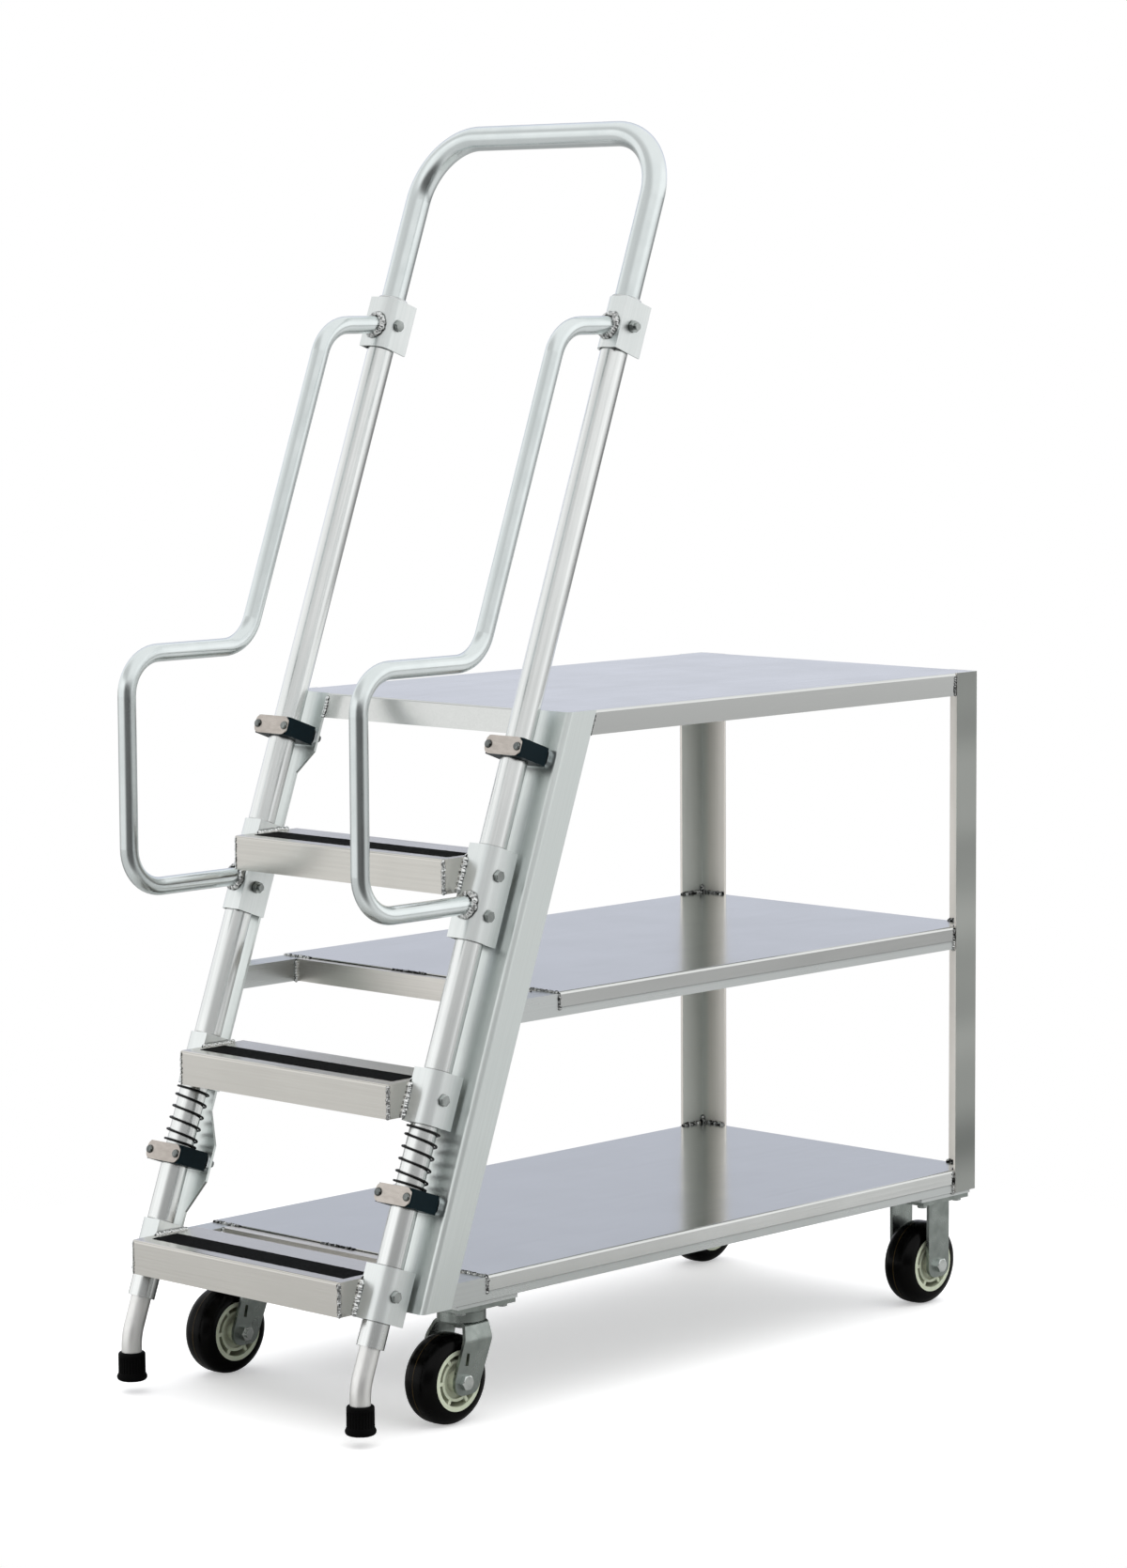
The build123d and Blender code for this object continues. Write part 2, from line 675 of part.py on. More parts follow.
# Brackets: folded channels open behind, with one front corner rolled round the tube
def bracket(centre, length, bolts, rolled_side):
    """A left-hand bracket in ladder coordinates, drilled for its bolts."""
    inside = bracket_half - bracket_wall
    depth = bracket_half + bracket_rear
    section = Pos((bracket_rear - bracket_half) / 2, 0) * Rectangle(depth, 2 * bracket_half)
    section -= Pos((bracket_rear - inside + bracket_wall) / 2, 0) * Rectangle(depth, 2 * inside)
    section = fillet(corner(section, -bracket_half, rolled_side * bracket_half), bracket_round)
    section = fillet(corner(section, -inside, rolled_side * inside), bracket_round - bracket_wall)
    channel = Pos(0, rail_y, centre - length / 2) * extrude(section, amount=length)
    for along in bolts:
        channel -= cross_hole(0, rail_y, centre + along, bolt_hole, 4 * bracket_half)
    return channel


ladder_bolts = []
add_pair("top_bracket", to_ladder * bracket(top_bracket_at, short_bracket, [0], -1))
head_inboard = Pos(0, rail_y - bracket_half, top_bracket_at) * Rot(90, 0, 0)
ladder_bolts += [head_inboard * piece for piece in bolt_and_nut(ladder_bolt, 2 * bracket_half)]


# Steps: folded trays, open below, welded between the inboard faces of their brackets
def step(centre, lift, bolts):
    """A step's tray and its grip strip."""
    top = centre * cos(lean) + lift
    axis_x = leaning_x(top, 0)
    skin_x = (axis_x - step_ahead, axis_x + step_behind)
    skin = slab(skin_x, (-step_half, step_half), (top - step_height, top))
    long_edges = skin.faces().sort_by(Axis.Z)[-1].edges().filter_by(Axis.Y)
    skin = fillet(long_edges, step_edge)
    hollow_x = (skin_x[0] + step_wall, skin_x[1] - step_wall)
    hollow_y = (-step_half + step_wall, step_half - step_wall)
    tray = skin - slab(hollow_x, hollow_y, (top - 2 * step_height, top - step_wall))
    for along, through in bolts:
        if through:
            tray -= to_ladder * cross_hole(0, 0, centre + along, bolt_hole, 2 * cart_width)
    grip_x = (axis_x - grip_ahead, axis_x - grip_ahead + grip_width)
    grip_y = (-step_half + grip_end_margin, step_half - grip_end_margin)
    return tray, slab(grip_x, grip_y, (top, top + grip_sheet))


grips = []
for name, centre, length, lift, bolts in step_rows:
    nodes[name + "_step"], grip = step(centre, lift, bolts)
    grips.append(grip)
    step_bracket = to_ladder * bracket(centre, length, [along for along, _ in bolts], 1)
    add_group(name + "_step_brackets", [step_bracket])
    for along, through in bolts:
        grip_length = 2 * bracket_half + (step_wall if through else 0)
        head_outboard = Pos(0, rail_y + bracket_half, centre + along) * Rot(-90, 0, 0)
        ladder_bolts += [head_outboard * piece for piece in bolt_and_nut(ladder_bolt, grip_length)]
nodes["grip_strips"] = Compound(grips)
add_group("ladder_bolts", [to_ladder * piece for piece in ladder_bolts])


# Handrails: bent tubes in the plane of each rail, from the top bracket down to the upper step's bracket
high_z = top_bracket_at * cos(lean) + handrail_top_lift
low_z = upper_bracket_at * cos(lean) - handrail_low_drop
shoulder_z = low_z + handrail_rise
front_x = leaning_x(low_z, 0) - handrail_reach
handrail_points = (
    (leaning_x(high_z, 0), rail_y, high_z),
    (leaning_x(high_z, -handrail_ahead), rail_y, high_z),
    (leaning_x(shoulder_z, -handrail_ahead), rail_y, shoulder_z),
    (front_x, rail_y, shoulder_z),
    (front_x, rail_y, low_z),
    (leaning_x(low_z, 0), rail_y, low_z),
)
handrail_path = FilletPolyline(*handrail_points, radius=handrail_bend)
handrail = tube(handrail_path, handrail_diameter, handrail_diameter - 2 * handrail_wall)
behind_brackets = slab((-bracket_half, reach), (0, cart_width), (0, 2 * rail_end))
add_pair("handrail", handrail - to_ladder * behind_brackets)

# Legs: smaller tubes pinned inside the rails, bent upright at the floor
leg_diameter = rail_bore - 2 * leg_fit
leg_top = rail_start + leg_insert
foot_x = leaning_x(leg_bend_z, 0)
leg_low = tip_clearance + tip_base
leg_points = (
    (leaning_x(leg_top * cos(lean), 0), rail_y, leg_top * cos(lean)),
    (foot_x, rail_y, leg_bend_z),
    (foot_x, rail_y, leg_low),
)
leg_path = FilletPolyline(*leg_points, radius=leg_bend)
leg = tube(leg_path, leg_diameter, leg_diameter - 2 * leg_wall)
leg -= to_ladder * cross_hole(0, rail_y, lower_bracket_at, bolt_hole, 2 * rail_diameter)
add_pair("leg", leg)

# Rubber tips: pushed over the legs, flared at the foot, just clear of the floor
flare_top = tip_clearance + tip_flare_height
taper_top = flare_top + tip_taper_height
tip_top = tip_clearance + tip_height
tip_outline = (
    (0, tip_clearance),
    (tip_flare_diameter / 2, tip_clearance),
    (tip_flare_diameter / 2, flare_top),
    (tip_diameter / 2, taper_top),
    (tip_diameter / 2, tip_top),
    (rail_bore / 2, tip_top),
    (rail_bore / 2, leg_low),
    (0, leg_low),
)
tip = revolve(Plane.XZ * make_face(Polyline(*tip_outline, close=True)), Axis.Z)
tip = fillet(tip.edges().group_by(Axis.Z)[0], tip_foot_round)
tip = fillet(tip.edges().group_by(Axis.Z)[-1].sort_by(SortBy.RADIUS)[-1:], tip_shoulder_round)
add_group("foot_tips", [Pos(foot_x, rail_y, 0) * tip])

# The origin is on the floor, in the middle of the cart's whole length and width
box = Compound(list(nodes.values())).bounding_box()
shift = -box.center().X
to_origin = Pos(shift, 0, 0)
os.makedirs("parts", exist_ok=True)
for name, shape in nodes.items():
    export_step(to_origin * shape, "parts/" + name + ".step")

# Places of the joints in the exported frame
print("overall size", box.size)
print("swivel axis x", swivel_x + shift, "y", wheel_y)
print("front axle x", axle_x + shift, "rear axle x", rigid_axle_x + shift, "z", axle_z)
print("slide axis", (-sin(lean), 0, -cos(lean)), "travel", tip_clearance / cos(lean))
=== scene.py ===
import math
import random

import bmesh
import bpy
from mathutils import Matrix, Vector


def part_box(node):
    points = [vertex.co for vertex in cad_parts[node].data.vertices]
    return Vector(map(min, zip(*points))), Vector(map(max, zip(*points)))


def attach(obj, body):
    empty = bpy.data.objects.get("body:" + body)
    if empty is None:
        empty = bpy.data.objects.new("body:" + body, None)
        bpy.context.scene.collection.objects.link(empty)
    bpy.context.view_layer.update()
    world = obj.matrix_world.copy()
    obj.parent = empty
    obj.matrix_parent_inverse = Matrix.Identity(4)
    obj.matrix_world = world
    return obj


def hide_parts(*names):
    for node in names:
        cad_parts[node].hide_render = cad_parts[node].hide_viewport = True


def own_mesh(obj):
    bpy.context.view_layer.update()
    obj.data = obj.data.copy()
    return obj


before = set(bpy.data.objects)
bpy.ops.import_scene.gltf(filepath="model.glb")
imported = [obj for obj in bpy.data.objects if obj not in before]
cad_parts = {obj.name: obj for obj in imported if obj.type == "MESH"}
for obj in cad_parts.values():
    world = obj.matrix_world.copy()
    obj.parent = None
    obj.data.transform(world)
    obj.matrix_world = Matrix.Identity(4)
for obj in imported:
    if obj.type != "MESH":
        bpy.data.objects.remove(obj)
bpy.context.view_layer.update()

# Shelves: the top deck and the two pans, folded from 2.5 mm aluminium sheet as it leaves the mill.
# The rims are turned down on a press brake, so their long edges are round and catch the light.
ROLLED_LINE = (0.20, 0.0024, 0.0024)
LINE_RELIEF = 0.006
LINE_DEEP = 0.0002
CLOUD = 0.12
# The grey that painted shade in corners and seams darkens bare aluminium towards
PAINTED_SHADE_GREY = "#565856"


def linear(hex_colour):
    """An sRGB hex colour as linear red, green, blue and alpha."""
    channels = [int(hex_colour[start:start + 2], 16) / 255 for start in (1, 3, 5)]
    light = [c / 12.92 if c <= 0.04045 else ((c + 0.055) / 1.055) ** 2.4 for c in channels]
    return (*light, 1.0)


def add_node(tree, kind, inputs=None, **settings):
    """Adds a node with its settings, and fills its inputs with values, hex colours or nodes' outputs."""
    node = tree.nodes.new(kind)
    for name, value in settings.items():
        setattr(node, name, value)
    for key, value in (inputs or {}).items():
        if isinstance(value, bpy.types.NodeSocket):
            tree.links.new(value, node.inputs[key])
        else:
            node.inputs[key].default_value = linear(value) if isinstance(value, str) else value
    return node


def start_material(name, **sockets):
    """A material with its shader's constant sockets set, its tree, its shader and its object coordinates."""
    material = bpy.data.materials.new(name)
    material.use_nodes = True
    tree = material.node_tree
    shader = tree.nodes["Principled BSDF"]
    for socket, value in sockets.items():
        shader.inputs[socket.replace("_", " ")].default_value = value
    place = add_node(tree, "ShaderNodeTexCoord").outputs["Object"]
    return material, tree, shader, place


def mill_aluminium(name, bright, dull, roughness, grain=(0, 0, 0), line=ROLLED_LINE, relief=LINE_RELIEF,
                   shade_reach=0):
    """Bare mill finish aluminium: satin and a little cloudy, with fine lines along the way it was rolled.

    The real lines are about 0.3 mm apart. They are drawn 2.4 mm apart so that they show. Grain turns them,
    in degrees, away from x. The last argument is how far from inner corners and meeting parts painted shade
    darkens the colour towards a grey.
    """
    material, tree, shader, place = start_material(name, Metallic=1.0)
    turn = [math.radians(angle) for angle in grain]
    along = add_node(tree, "ShaderNodeMapping", {"Vector": place, "Rotation": turn, "Scale": line},
                     vector_type="TEXTURE").outputs[0]
    lines = add_node(tree, "ShaderNodeTexNoise", {"Vector": along, "Scale": 1.0, "Detail": 3.0}).outputs[0]
    clouds = add_node(tree, "ShaderNodeTexNoise", {
        "Vector": place, "Scale": 1 / CLOUD, "Detail": 3.0}).outputs[0]
    mixed = add_node(tree, "ShaderNodeMath", {0: lines, 1: clouds}, operation="ADD").outputs[0]
    share = add_node(tree, "ShaderNodeMapRange", {
        "Value": mixed, "From Min": 0.75, "From Max": 1.25}).outputs[0]
    colour = add_node(tree, "ShaderNodeMix", {0: share, 6: dull, 7: bright}, data_type="RGBA").outputs[2]
    # Painted shade: ambient occlusion darkens the colour towards a grey near inner corners and where other
    # parts meet this one.
    if shade_reach:
        clear = add_node(tree, "ShaderNodeAmbientOcclusion", {"Distance": shade_reach}, samples=8).outputs["AO"]
        clear = add_node(tree, "ShaderNodeMapRange", {
            "Value": clear, "From Min": 0.5, "From Max": 0.9}).outputs[0]
        colour = add_node(tree, "ShaderNodeMix", {0: clear, 6: PAINTED_SHADE_GREY, 7: colour},
                          data_type="RGBA").outputs[2]
    rough = add_node(tree, "ShaderNodeMapRange", {
        "Value": mixed, "From Min": 0.7, "From Max": 1.3,
        "To Min": roughness * 1.15, "To Max": roughness * 0.85}).outputs[0]
    ridges = add_node(tree, "ShaderNodeBump", {
        "Height": lines, "Strength": relief, "Distance": LINE_DEEP}).outputs[0]
    tree.links.new(colour, shader.inputs["Base Color"])
    tree.links.new(rough, shader.inputs["Roughness"])
    tree.links.new(ridges, shader.inputs["Normal"])
    return material


def dress(material, *names):
    """Gives CAD nodes a finish in place of their plain one."""
    for name in names:
        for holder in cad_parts[name].material_slots:
            holder.material = material


def sides(*names):
    """The left and right nodes of each name."""
    return [f"{name}_{side}" for name in names for side in ("left", "right")]


dress(mill_aluminium("mill_finish_sheet", "#DADCDA", "#D4D6D4", 0.17), "top_deck", "middle_pan", "bottom_pan")

# Frame: rear posts of extruded angle, leaning stringers bent from sheet, and members of box tube.
# All are bare aluminium with lines along their length. Painted shade darkens the posts a little in their
# inner corner and more on their outer faces, in bands up their height, and these are less metallic, so the
# open edges of their legs shine most.
RAIL_LEAN = 20.26
UPRIGHT_GRAIN = (0, -90, 0)
LEANING_GRAIN = (0, RAIL_LEAN - 90, 0)
ACROSS_GRAIN = (0, 0, 90)
POST_CORNER = 0.271
POST_EDGE = 0.258
POST_FRONT = 0.5828
POST_SIDE = 0.2776
POST_REAR = 0.6327
CORNER_PAINTED_SHADE = "#E2E6E1"
DARK_PAINTED_SHADE = "#747874"
PALE_PAINTED_SHADE = "#B2B5B0"
SHADE_BAND_SCALE = (3.0, 3.0, 0.17)

extruded_angle = mill_aluminium("extruded_angle", "#F2EEE8", "#ECE8E2", 0.36, UPRIGHT_GRAIN)
tree = extruded_angle.node_tree
shader = tree.nodes["Principled BSDF"]
clean = shader.inputs["Base Color"].links[0].from_socket
place = add_node(tree, "ShaderNodeTexCoord").outputs["Object"]
spot = add_node(tree, "ShaderNodeSeparateXYZ", {0: place})
back = spot.outputs["X"]
across = add_node(tree, "ShaderNodeMath", {0: spot.outputs["Y"]}, operation="ABSOLUTE").outputs[0]
on_side = add_node(tree, "ShaderNodeMath", {0: across, 1: POST_SIDE}, operation="GREATER_THAN").outputs[0]
on_rear = add_node(tree, "ShaderNodeMath", {0: back, 1: POST_REAR}, operation="GREATER_THAN").outputs[0]
outside = add_node(tree, "ShaderNodeMath", {0: on_side, 1: on_rear}, operation="MAXIMUM").outputs[0]
on_edge = add_node(tree, "ShaderNodeMath", {0: back, 1: POST_FRONT}, operation="LESS_THAN").outputs[0]
open_leg = add_node(tree, "ShaderNodeMapRange", {
    "Value": across, "From Min": POST_CORNER, "From Max": POST_EDGE}).outputs[0]
open_leg = add_node(tree, "ShaderNodeMath", {0: open_leg, 1: on_edge}, operation="MAXIMUM").outputs[0]
# Painted shade: the inner faces are darkened towards the corner.
inside = add_node(tree, "ShaderNodeMix", {0: open_leg, 6: CORNER_PAINTED_SHADE, 7: clean},
                  data_type="RGBA").outputs[2]
# Painted shade: the outer faces are darkened, in random bands along their height.
along = add_node(tree, "ShaderNodeMapping", {"Vector": place, "Scale": SHADE_BAND_SCALE},
                 vector_type="TEXTURE").outputs[0]
bands = add_node(tree, "ShaderNodeTexNoise", {"Vector": along, "Scale": 1.0, "Detail": 1.0}).outputs[0]
bands = add_node(tree, "ShaderNodeMapRange", {"Value": bands, "From Min": 0.35, "From Max": 0.65}).outputs[0]
shade_bands = add_node(tree, "ShaderNodeMix", {0: bands, 6: DARK_PAINTED_SHADE, 7: PALE_PAINTED_SHADE},
                  data_type="RGBA").outputs[2]
colour = add_node(tree, "ShaderNodeMix", {0: outside, 6: inside, 7: shade_bands}, data_type="RGBA").outputs[2]
bare = add_node(tree, "ShaderNodeMapRange", {"Value": open_leg, "To Min": 0.35, "To Max": 0.8}).outputs[0]
bare = add_node(tree, "ShaderNodeMix", {0: outside, 2: bare, 3: 0.1}).outputs[0]
tree.links.new(colour, shader.inputs["Base Color"])
tree.links.new(bare, shader.inputs["Metallic"])
dress(extruded_angle, *sides("rear_post"))
dress(mill_aluminium("bent_angle", "#E4EAE8", "#DDE3E1", 0.34, LEANING_GRAIN), *sides("stringer"))
# The members' colour carries painted shade within 6 mm of the parts that meet them, most below the pans'
# rims.
dress(mill_aluminium("box_tube", "#D6DAD9", "#CFD3D2", 0.30, shade_reach=0.006),
      *sides("middle_side_member", "bottom_side_member"), "caster_pads")
dress(mill_aluminium("box_tube_across", "#F2EFE9", "#EAE7E1", 0.36, ACROSS_GRAIN),
      "middle_cross_members", "bottom_cross_members")

# Frame welds: beads of stacked ripples where shelves, posts, stringers and members meet.
# Each ripple is one drop of filler metal, bright on top and black in the valleys and at its edge: partly
# soot, partly painted shade where the drops meet.
# A bead is given as its width, its height and how much more soot it carries than a clean one.
RIPPLE_STEP = 0.52
RIPPLE_LENGTH = 0.44
RIPPLE_TILT = 24.0
RIPPLE_TURN = 24.0
RIPPLE_FLOOR = -0.6
RIPPLE_CREST = 0.4
CREST_BACK = -0.18
BRIGHT_START = 0.1
BRIGHT_RISE = 1.5
PIT = 0.005
rng = random.Random(9)


def choose(test):
    """In edit mode, selects just the active piece's vertices whose place passes a test."""
    bpy.ops.mesh.select_all(action="DESELECT")
    shape = bmesh.from_edit_mesh(bpy.context.active_object.data)
    for vertex in shape.verts:
        vertex.select_set(test(vertex.co))
    shape.select_flush_mode()
    bmesh.update_edit_mesh(bpy.context.active_object.data)


bpy.ops.object.select_all(action="DESELECT")
bpy.ops.mesh.primitive_uv_sphere_add(segments=10, ring_count=6, radius=1.0)
ripple = bpy.context.active_object
bpy.ops.object.mode_set(mode="EDIT")
bpy.ops.mesh.select_all(action="SELECT")
bpy.ops.mesh.bisect(plane_co=(0, 0, RIPPLE_FLOOR), plane_no=(0, 0, 1), use_fill=True, clear_inner=True)
choose(lambda place: place.z > RIPPLE_CREST)
bpy.ops.transform.translate(value=(CREST_BACK, 0, 0))
bpy.ops.object.mode_set(mode="OBJECT")
bpy.ops.object.shade_smooth()
# This darkens each ripple from its top down: soot, and painted shade low in the valleys.
soot = ripple.data.attributes.new("soot", "FLOAT", "POINT")
for vertex, shade in zip(ripple.data.vertices, soot.data):
    shade.value = 1.0 - max(0.0, min(1.0, BRIGHT_START + BRIGHT_RISE * vertex.co.z))

weld_filler, tree, shader, place = start_material("weld_filler_aluminium", Metallic=1.0)
# Soot and painted shade: the ripples' low parts, and pits in them, are darkened to near black.
valley = add_node(tree, "ShaderNodeAttribute", attribute_name="soot").outputs["Fac"]
pits = add_node(tree, "ShaderNodeTexNoise", {"Vector": place, "Scale": 1 / PIT, "Detail": 2.0}).outputs[0]
dark = add_node(tree, "ShaderNodeMath", {0: valley, 1: pits}, operation="ADD").outputs[0]
dark = add_node(tree, "ShaderNodeMapRange", {"Value": dark, "From Min": 0.7, "From Max": 1.15}).outputs[0]
colour = add_node(tree, "ShaderNodeMix", {0: dark, 6: "#EAECEB", 7: "#161716"}, data_type="RGBA").outputs[2]
rough = add_node(tree, "ShaderNodeMapRange", {"Value": dark, "To Min": 0.16, "To Max": 0.55}).outputs[0]
tree.links.new(colour, shader.inputs["Base Color"])
tree.links.new(rough, shader.inputs["Roughness"])

laid = []


def lay_bead(points, facings, bead, step=RIPPLE_STEP):
    """Lays a bead's ripples along a line of points, each standing on the metal and facing away from it.

    Step is how far apart they are, as a share of the bead's width.
    """
    width, height, grime = bead
    until = 0.0
    for start, end, facing in zip(points, points[1:], facings):
        run = end - start
        along = run.normalized()
        out = (facing - facing.project(along)).normalized()
        across = out.cross(along)
        axes = Matrix((along, across, out)).transposed().to_4x4()
        while until <= run.length:
            sway = across * width * rng.uniform(-0.1, 0.1)
            turn = Matrix.Rotation(math.radians(rng.uniform(-RIPPLE_TURN, RIPPLE_TURN)), 4, "Z")
            long = RIPPLE_LENGTH * width * rng.uniform(0.8, 1.2)
            steepest = min(math.radians(RIPPLE_TILT), math.asin(min(1.0, height / long)))
            tilt = Matrix.Rotation(rng.uniform(0, steepest), 4, "Y")
            wide = 0.5 * width * rng.uniform(0.78, 1.08)
            size = Matrix.Diagonal((long, wide, height * rng.uniform(0.75, 1.2), 1))
            drop = ripple.copy()
            drop.data = ripple.data.copy()
            drop.data.transform(Matrix.Translation(start + along * until + sway) @ axes @ turn @ tilt @ size)
            for shade in drop.data.attributes["soot"].data:
                shade.value += grime * rng.uniform(0.5, 1.5)
            bpy.context.collection.objects.link(drop)
            laid.append(drop)
            until += step * width * rng.uniform(0.75, 1.25)
        until -= run.length


def straight_bead(start, end, facing, bead, step=RIPPLE_STEP):
    """A bead along one straight seam."""
    lay_bead([Vector(start), Vector(end)], [Vector(facing)], bead, step)


def upright_bead(x, y, foot, head, facing, bead, step=RIPPLE_STEP):
    """A bead straight up a seam, from one height to another."""
    straight_bead((x, y, foot), (x, y, head), facing, bead, step)


def join_pieces(name, pieces):
    """Joins pieces into the first of them, which takes the name."""
    bpy.ops.object.select_all(action="DESELECT")
    for piece in pieces:
        piece.select_set(True)
    whole = pieces[0]
    bpy.context.view_layer.objects.active = whole
    bpy.ops.object.join()
    whole.name = name
    whole.data.name = name
    return whole


def finish_beads(name, body):
    """Joins the beads laid so far into one piece on a body."""
    piece = join_pieces(name, laid)
    laid.clear()
    piece.data.materials.append(weld_filler)
    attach(piece, body)


# Beads round the shelves: at the rims' ends, inside the posts and along the pans' front edges
RIM_BEAD = (0.0085, 0.0007, 0.55)
MEMBER_BEAD = (0.007, 0.002, 0.3)
POST_BEAD = (0.010, 0.0042, 0.5)
POST_CORNER_BEAD = (0.009, 0.004, 0.4)
PAN_CORNER_BEAD = (0.0065, 0.0016, 0.45)
PAN_FRONT_BEAD = (0.007, 0.0022, 0.4)
PAN_TACK = (0.0065, 0.002, 0.6)
STAND_OFF = 0.001
POST_SHEET = 0.004
POST_FILLET = 0.0015
POST_RISE = 0.011
TOP_RIM = 0.034
PAN_RIM = 0.021
RIM_STOP = 0.003
RIM_SUNK = 0.0001
MEMBER_FOOT = 0.034
MEMBER_ROUND = 0.0004
PAN_OUT = 0.0006
PAN_STOP = 0.002
SEAM_DOWN = 0.0022
SEAM_INWARD = 0.012
TACK_START = -0.013
TACK_END = 0.05
post_low, post_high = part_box("rear_post_left")
inner_x = post_high.x - POST_SHEET - POST_FILLET
inner_y = post_high.y - POST_SHEET - POST_FILLET
member_inner, member_half = [corner.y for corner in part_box("middle_side_member_left")]
for deck, rim in (("top_deck", TOP_RIM), ("middle_pan", PAN_RIM), ("bottom_pan", PAN_RIM)):
    deck_low, deck_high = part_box(deck)
    level = deck_high.z
    seam_x = deck_low.x - STAND_OFF
    seam_z = level - SEAM_DOWN
    for side in (-1, 1):
        for x, y, facing in ((post_low.x - RIM_STOP, deck_high.y - RIM_SUNK, (0, side, 0)),
                             (deck_high.x - RIM_SUNK, post_low.y - RIM_STOP, (1, 0, 0))):
            upright_bead(x, side * y, level - rim + RIM_STOP, level - RIM_STOP, facing, RIM_BEAD)
        if deck == "top_deck":
            continue
        upright_bead(post_low.x - STAND_OFF, side * (member_half - MEMBER_ROUND), level - MEMBER_FOOT,
                     level - rim, (-1, side, 0), MEMBER_BEAD)
        corner = Vector((inner_x, side * inner_y, level))
        straight_bead(corner, (post_low.x, corner.y, level), (0, -side, 1), POST_BEAD)
        straight_bead(corner, (corner.x, side * post_low.y, level), (-1, 0, 1), POST_BEAD)
        straight_bead(corner, corner + Vector((0, 0, POST_RISE)), (-1, -side, 0), POST_CORNER_BEAD)
        upright_bead(deck_low.x - PAN_OUT, side * (member_half + MEMBER_ROUND), level - rim - PAN_STOP,
                     level - PAN_STOP, (-1, side, 0), PAN_CORNER_BEAD)
        straight_bead((seam_x, side * (member_inner - SEAM_INWARD), seam_z),
                      (seam_x, side * (member_half - PAN_STOP), seam_z), (-1, 0, 1), PAN_FRONT_BEAD)
    if deck != "top_deck":
        straight_bead((seam_x, TACK_START, seam_z), (seam_x, TACK_END, seam_z), (-1, 0, 1), PAN_TACK)

# Weld places on the leaning parts are given from a rail's axis: how far behind it, across and up along it
lean = math.radians(RAIL_LEAN)
up_rail = Vector((math.sin(lean), 0, math.cos(lean)))
behind_rail = Vector((math.cos(lean), 0, -math.sin(lean)))
rail_low, rail_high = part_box("rail_left")
rail_middle = (rail_low + rail_high) / 2
rail_foot = rail_middle - up_rail * (rail_middle.z / math.cos(lean))


def on_rail(behind, y, along):
    """A point behind a rail's axis, across the cart, and up along the rail from the floor."""
    place = rail_foot + behind * behind_rail + along * up_rail
    return Vector((place.x, y, place.z))


def at_height(behind, y, z):
    """The point at a height on the leaning plane that stands this far behind the rails' axes."""
    return on_rail(behind, y, (z + behind * math.sin(lean)) / math.cos(lean))


def leaning_bead(behind, y, foot, head, facing, bead, step=RIPPLE_STEP):
    """A bead up a seam that leans as the rails do, from one height to another."""
    straight_bead(at_height(behind, y, foot), at_height(behind, y, head), facing, bead, step)


# Beads where the stringers meet the top deck, in the corners of the cross members and along the caster pads
TAB_BEAD = (0.008, 0.0016, 0.0)
TAB_BEHIND = 0.034
TAB_SUNK = 0.0003
TAB_END = 0.197
STRINGER_BEAD = (0.005, 0.0006, 0.8)
STRINGER_REAR = 0.084
DECK_STOPS = (0.002, 0.004)
BAR_BEAD = (0.007, 0.0028, 0.0)
BAR_WIDE = 0.040
BAR_FILLET = 0.0008
PAD_BEAD = (0.006, 0.002, 0.0)
PAD_LONG = 0.114
PAD_STOP = 0.012
top_low, top_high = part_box("top_deck")
foot = top_low.z + DECK_STOPS[0]
head = top_high.z - DECK_STOPS[1]
for side in (-1, 1):
    leaning_bead(TAB_BEHIND - TAB_SUNK, side * (TAB_END - STAND_OFF), foot, head, -behind_rail, TAB_BEAD)
    leaning_bead(STRINGER_REAR + STAND_OFF, side * (top_high.y - RIM_SUNK), foot, head, (0, side, 0),
                 STRINGER_BEAD)
for shelf in ("middle", "bottom"):
    bar_low, bar_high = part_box(f"{shelf}_cross_members")
    for side in (-1, 1):
        for x, way in ((bar_low.x - BAR_FILLET, -1), (bar_low.x + BAR_WIDE + BAR_FILLET, 1),
                       (bar_high.x - BAR_WIDE - BAR_FILLET, -1)):
            upright_bead(x, side * (bar_high.y - BAR_FILLET), bar_low.z + STAND_OFF, bar_high.z - STAND_OFF,
                         (way, -side, 0), BAR_BEAD)
pad_low, pad_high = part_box("caster_pads")
for pad_x in (pad_low.x, pad_high.x - PAD_LONG):
    for side in (-1, 1):
        y = side * (member_inner - STAND_OFF)
        straight_bead((pad_x + PAD_STOP, y, pad_high.z), (pad_x + PAD_LONG - PAD_STOP, y, pad_high.z),
                      (0, -side, 1), PAD_BEAD)
finish_beads("frame_welds", "cart")

# Seam shadows: the long seam between each pan's front edge and its cross member is welded only here and
# there.
# A thin dark strip along it is a painted shadow of the open gap, mottled in soft patches.
PAN_SHEET = 0.0025
SHADOW_HIGH = 0.0012
SHADOW_DEEP = 0.0008
SHADOW_MOTTLE = 0.02
shadow_strips = []
# A dark strip under each pan's front edge stands for the shadow in the gap.
for pan in ("middle_pan", "bottom_pan"):
    low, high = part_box(pan)
    bpy.ops.object.select_all(action="DESELECT")
    bpy.ops.mesh.primitive_cube_add(size=1.0)
    line = bpy.context.active_object
    bpy.ops.object.mode_set(mode="EDIT")
    bpy.ops.transform.resize(value=(SHADOW_DEEP, 2 * member_half, SHADOW_HIGH))
    bpy.ops.transform.translate(value=(low.x, 0, high.z - PAN_SHEET + SHADOW_HIGH / 2))
    bpy.ops.object.mode_set(mode="OBJECT")
    shadow_strips.append(line)
seams = join_pieces("seam_shadow_strip", shadow_strips)


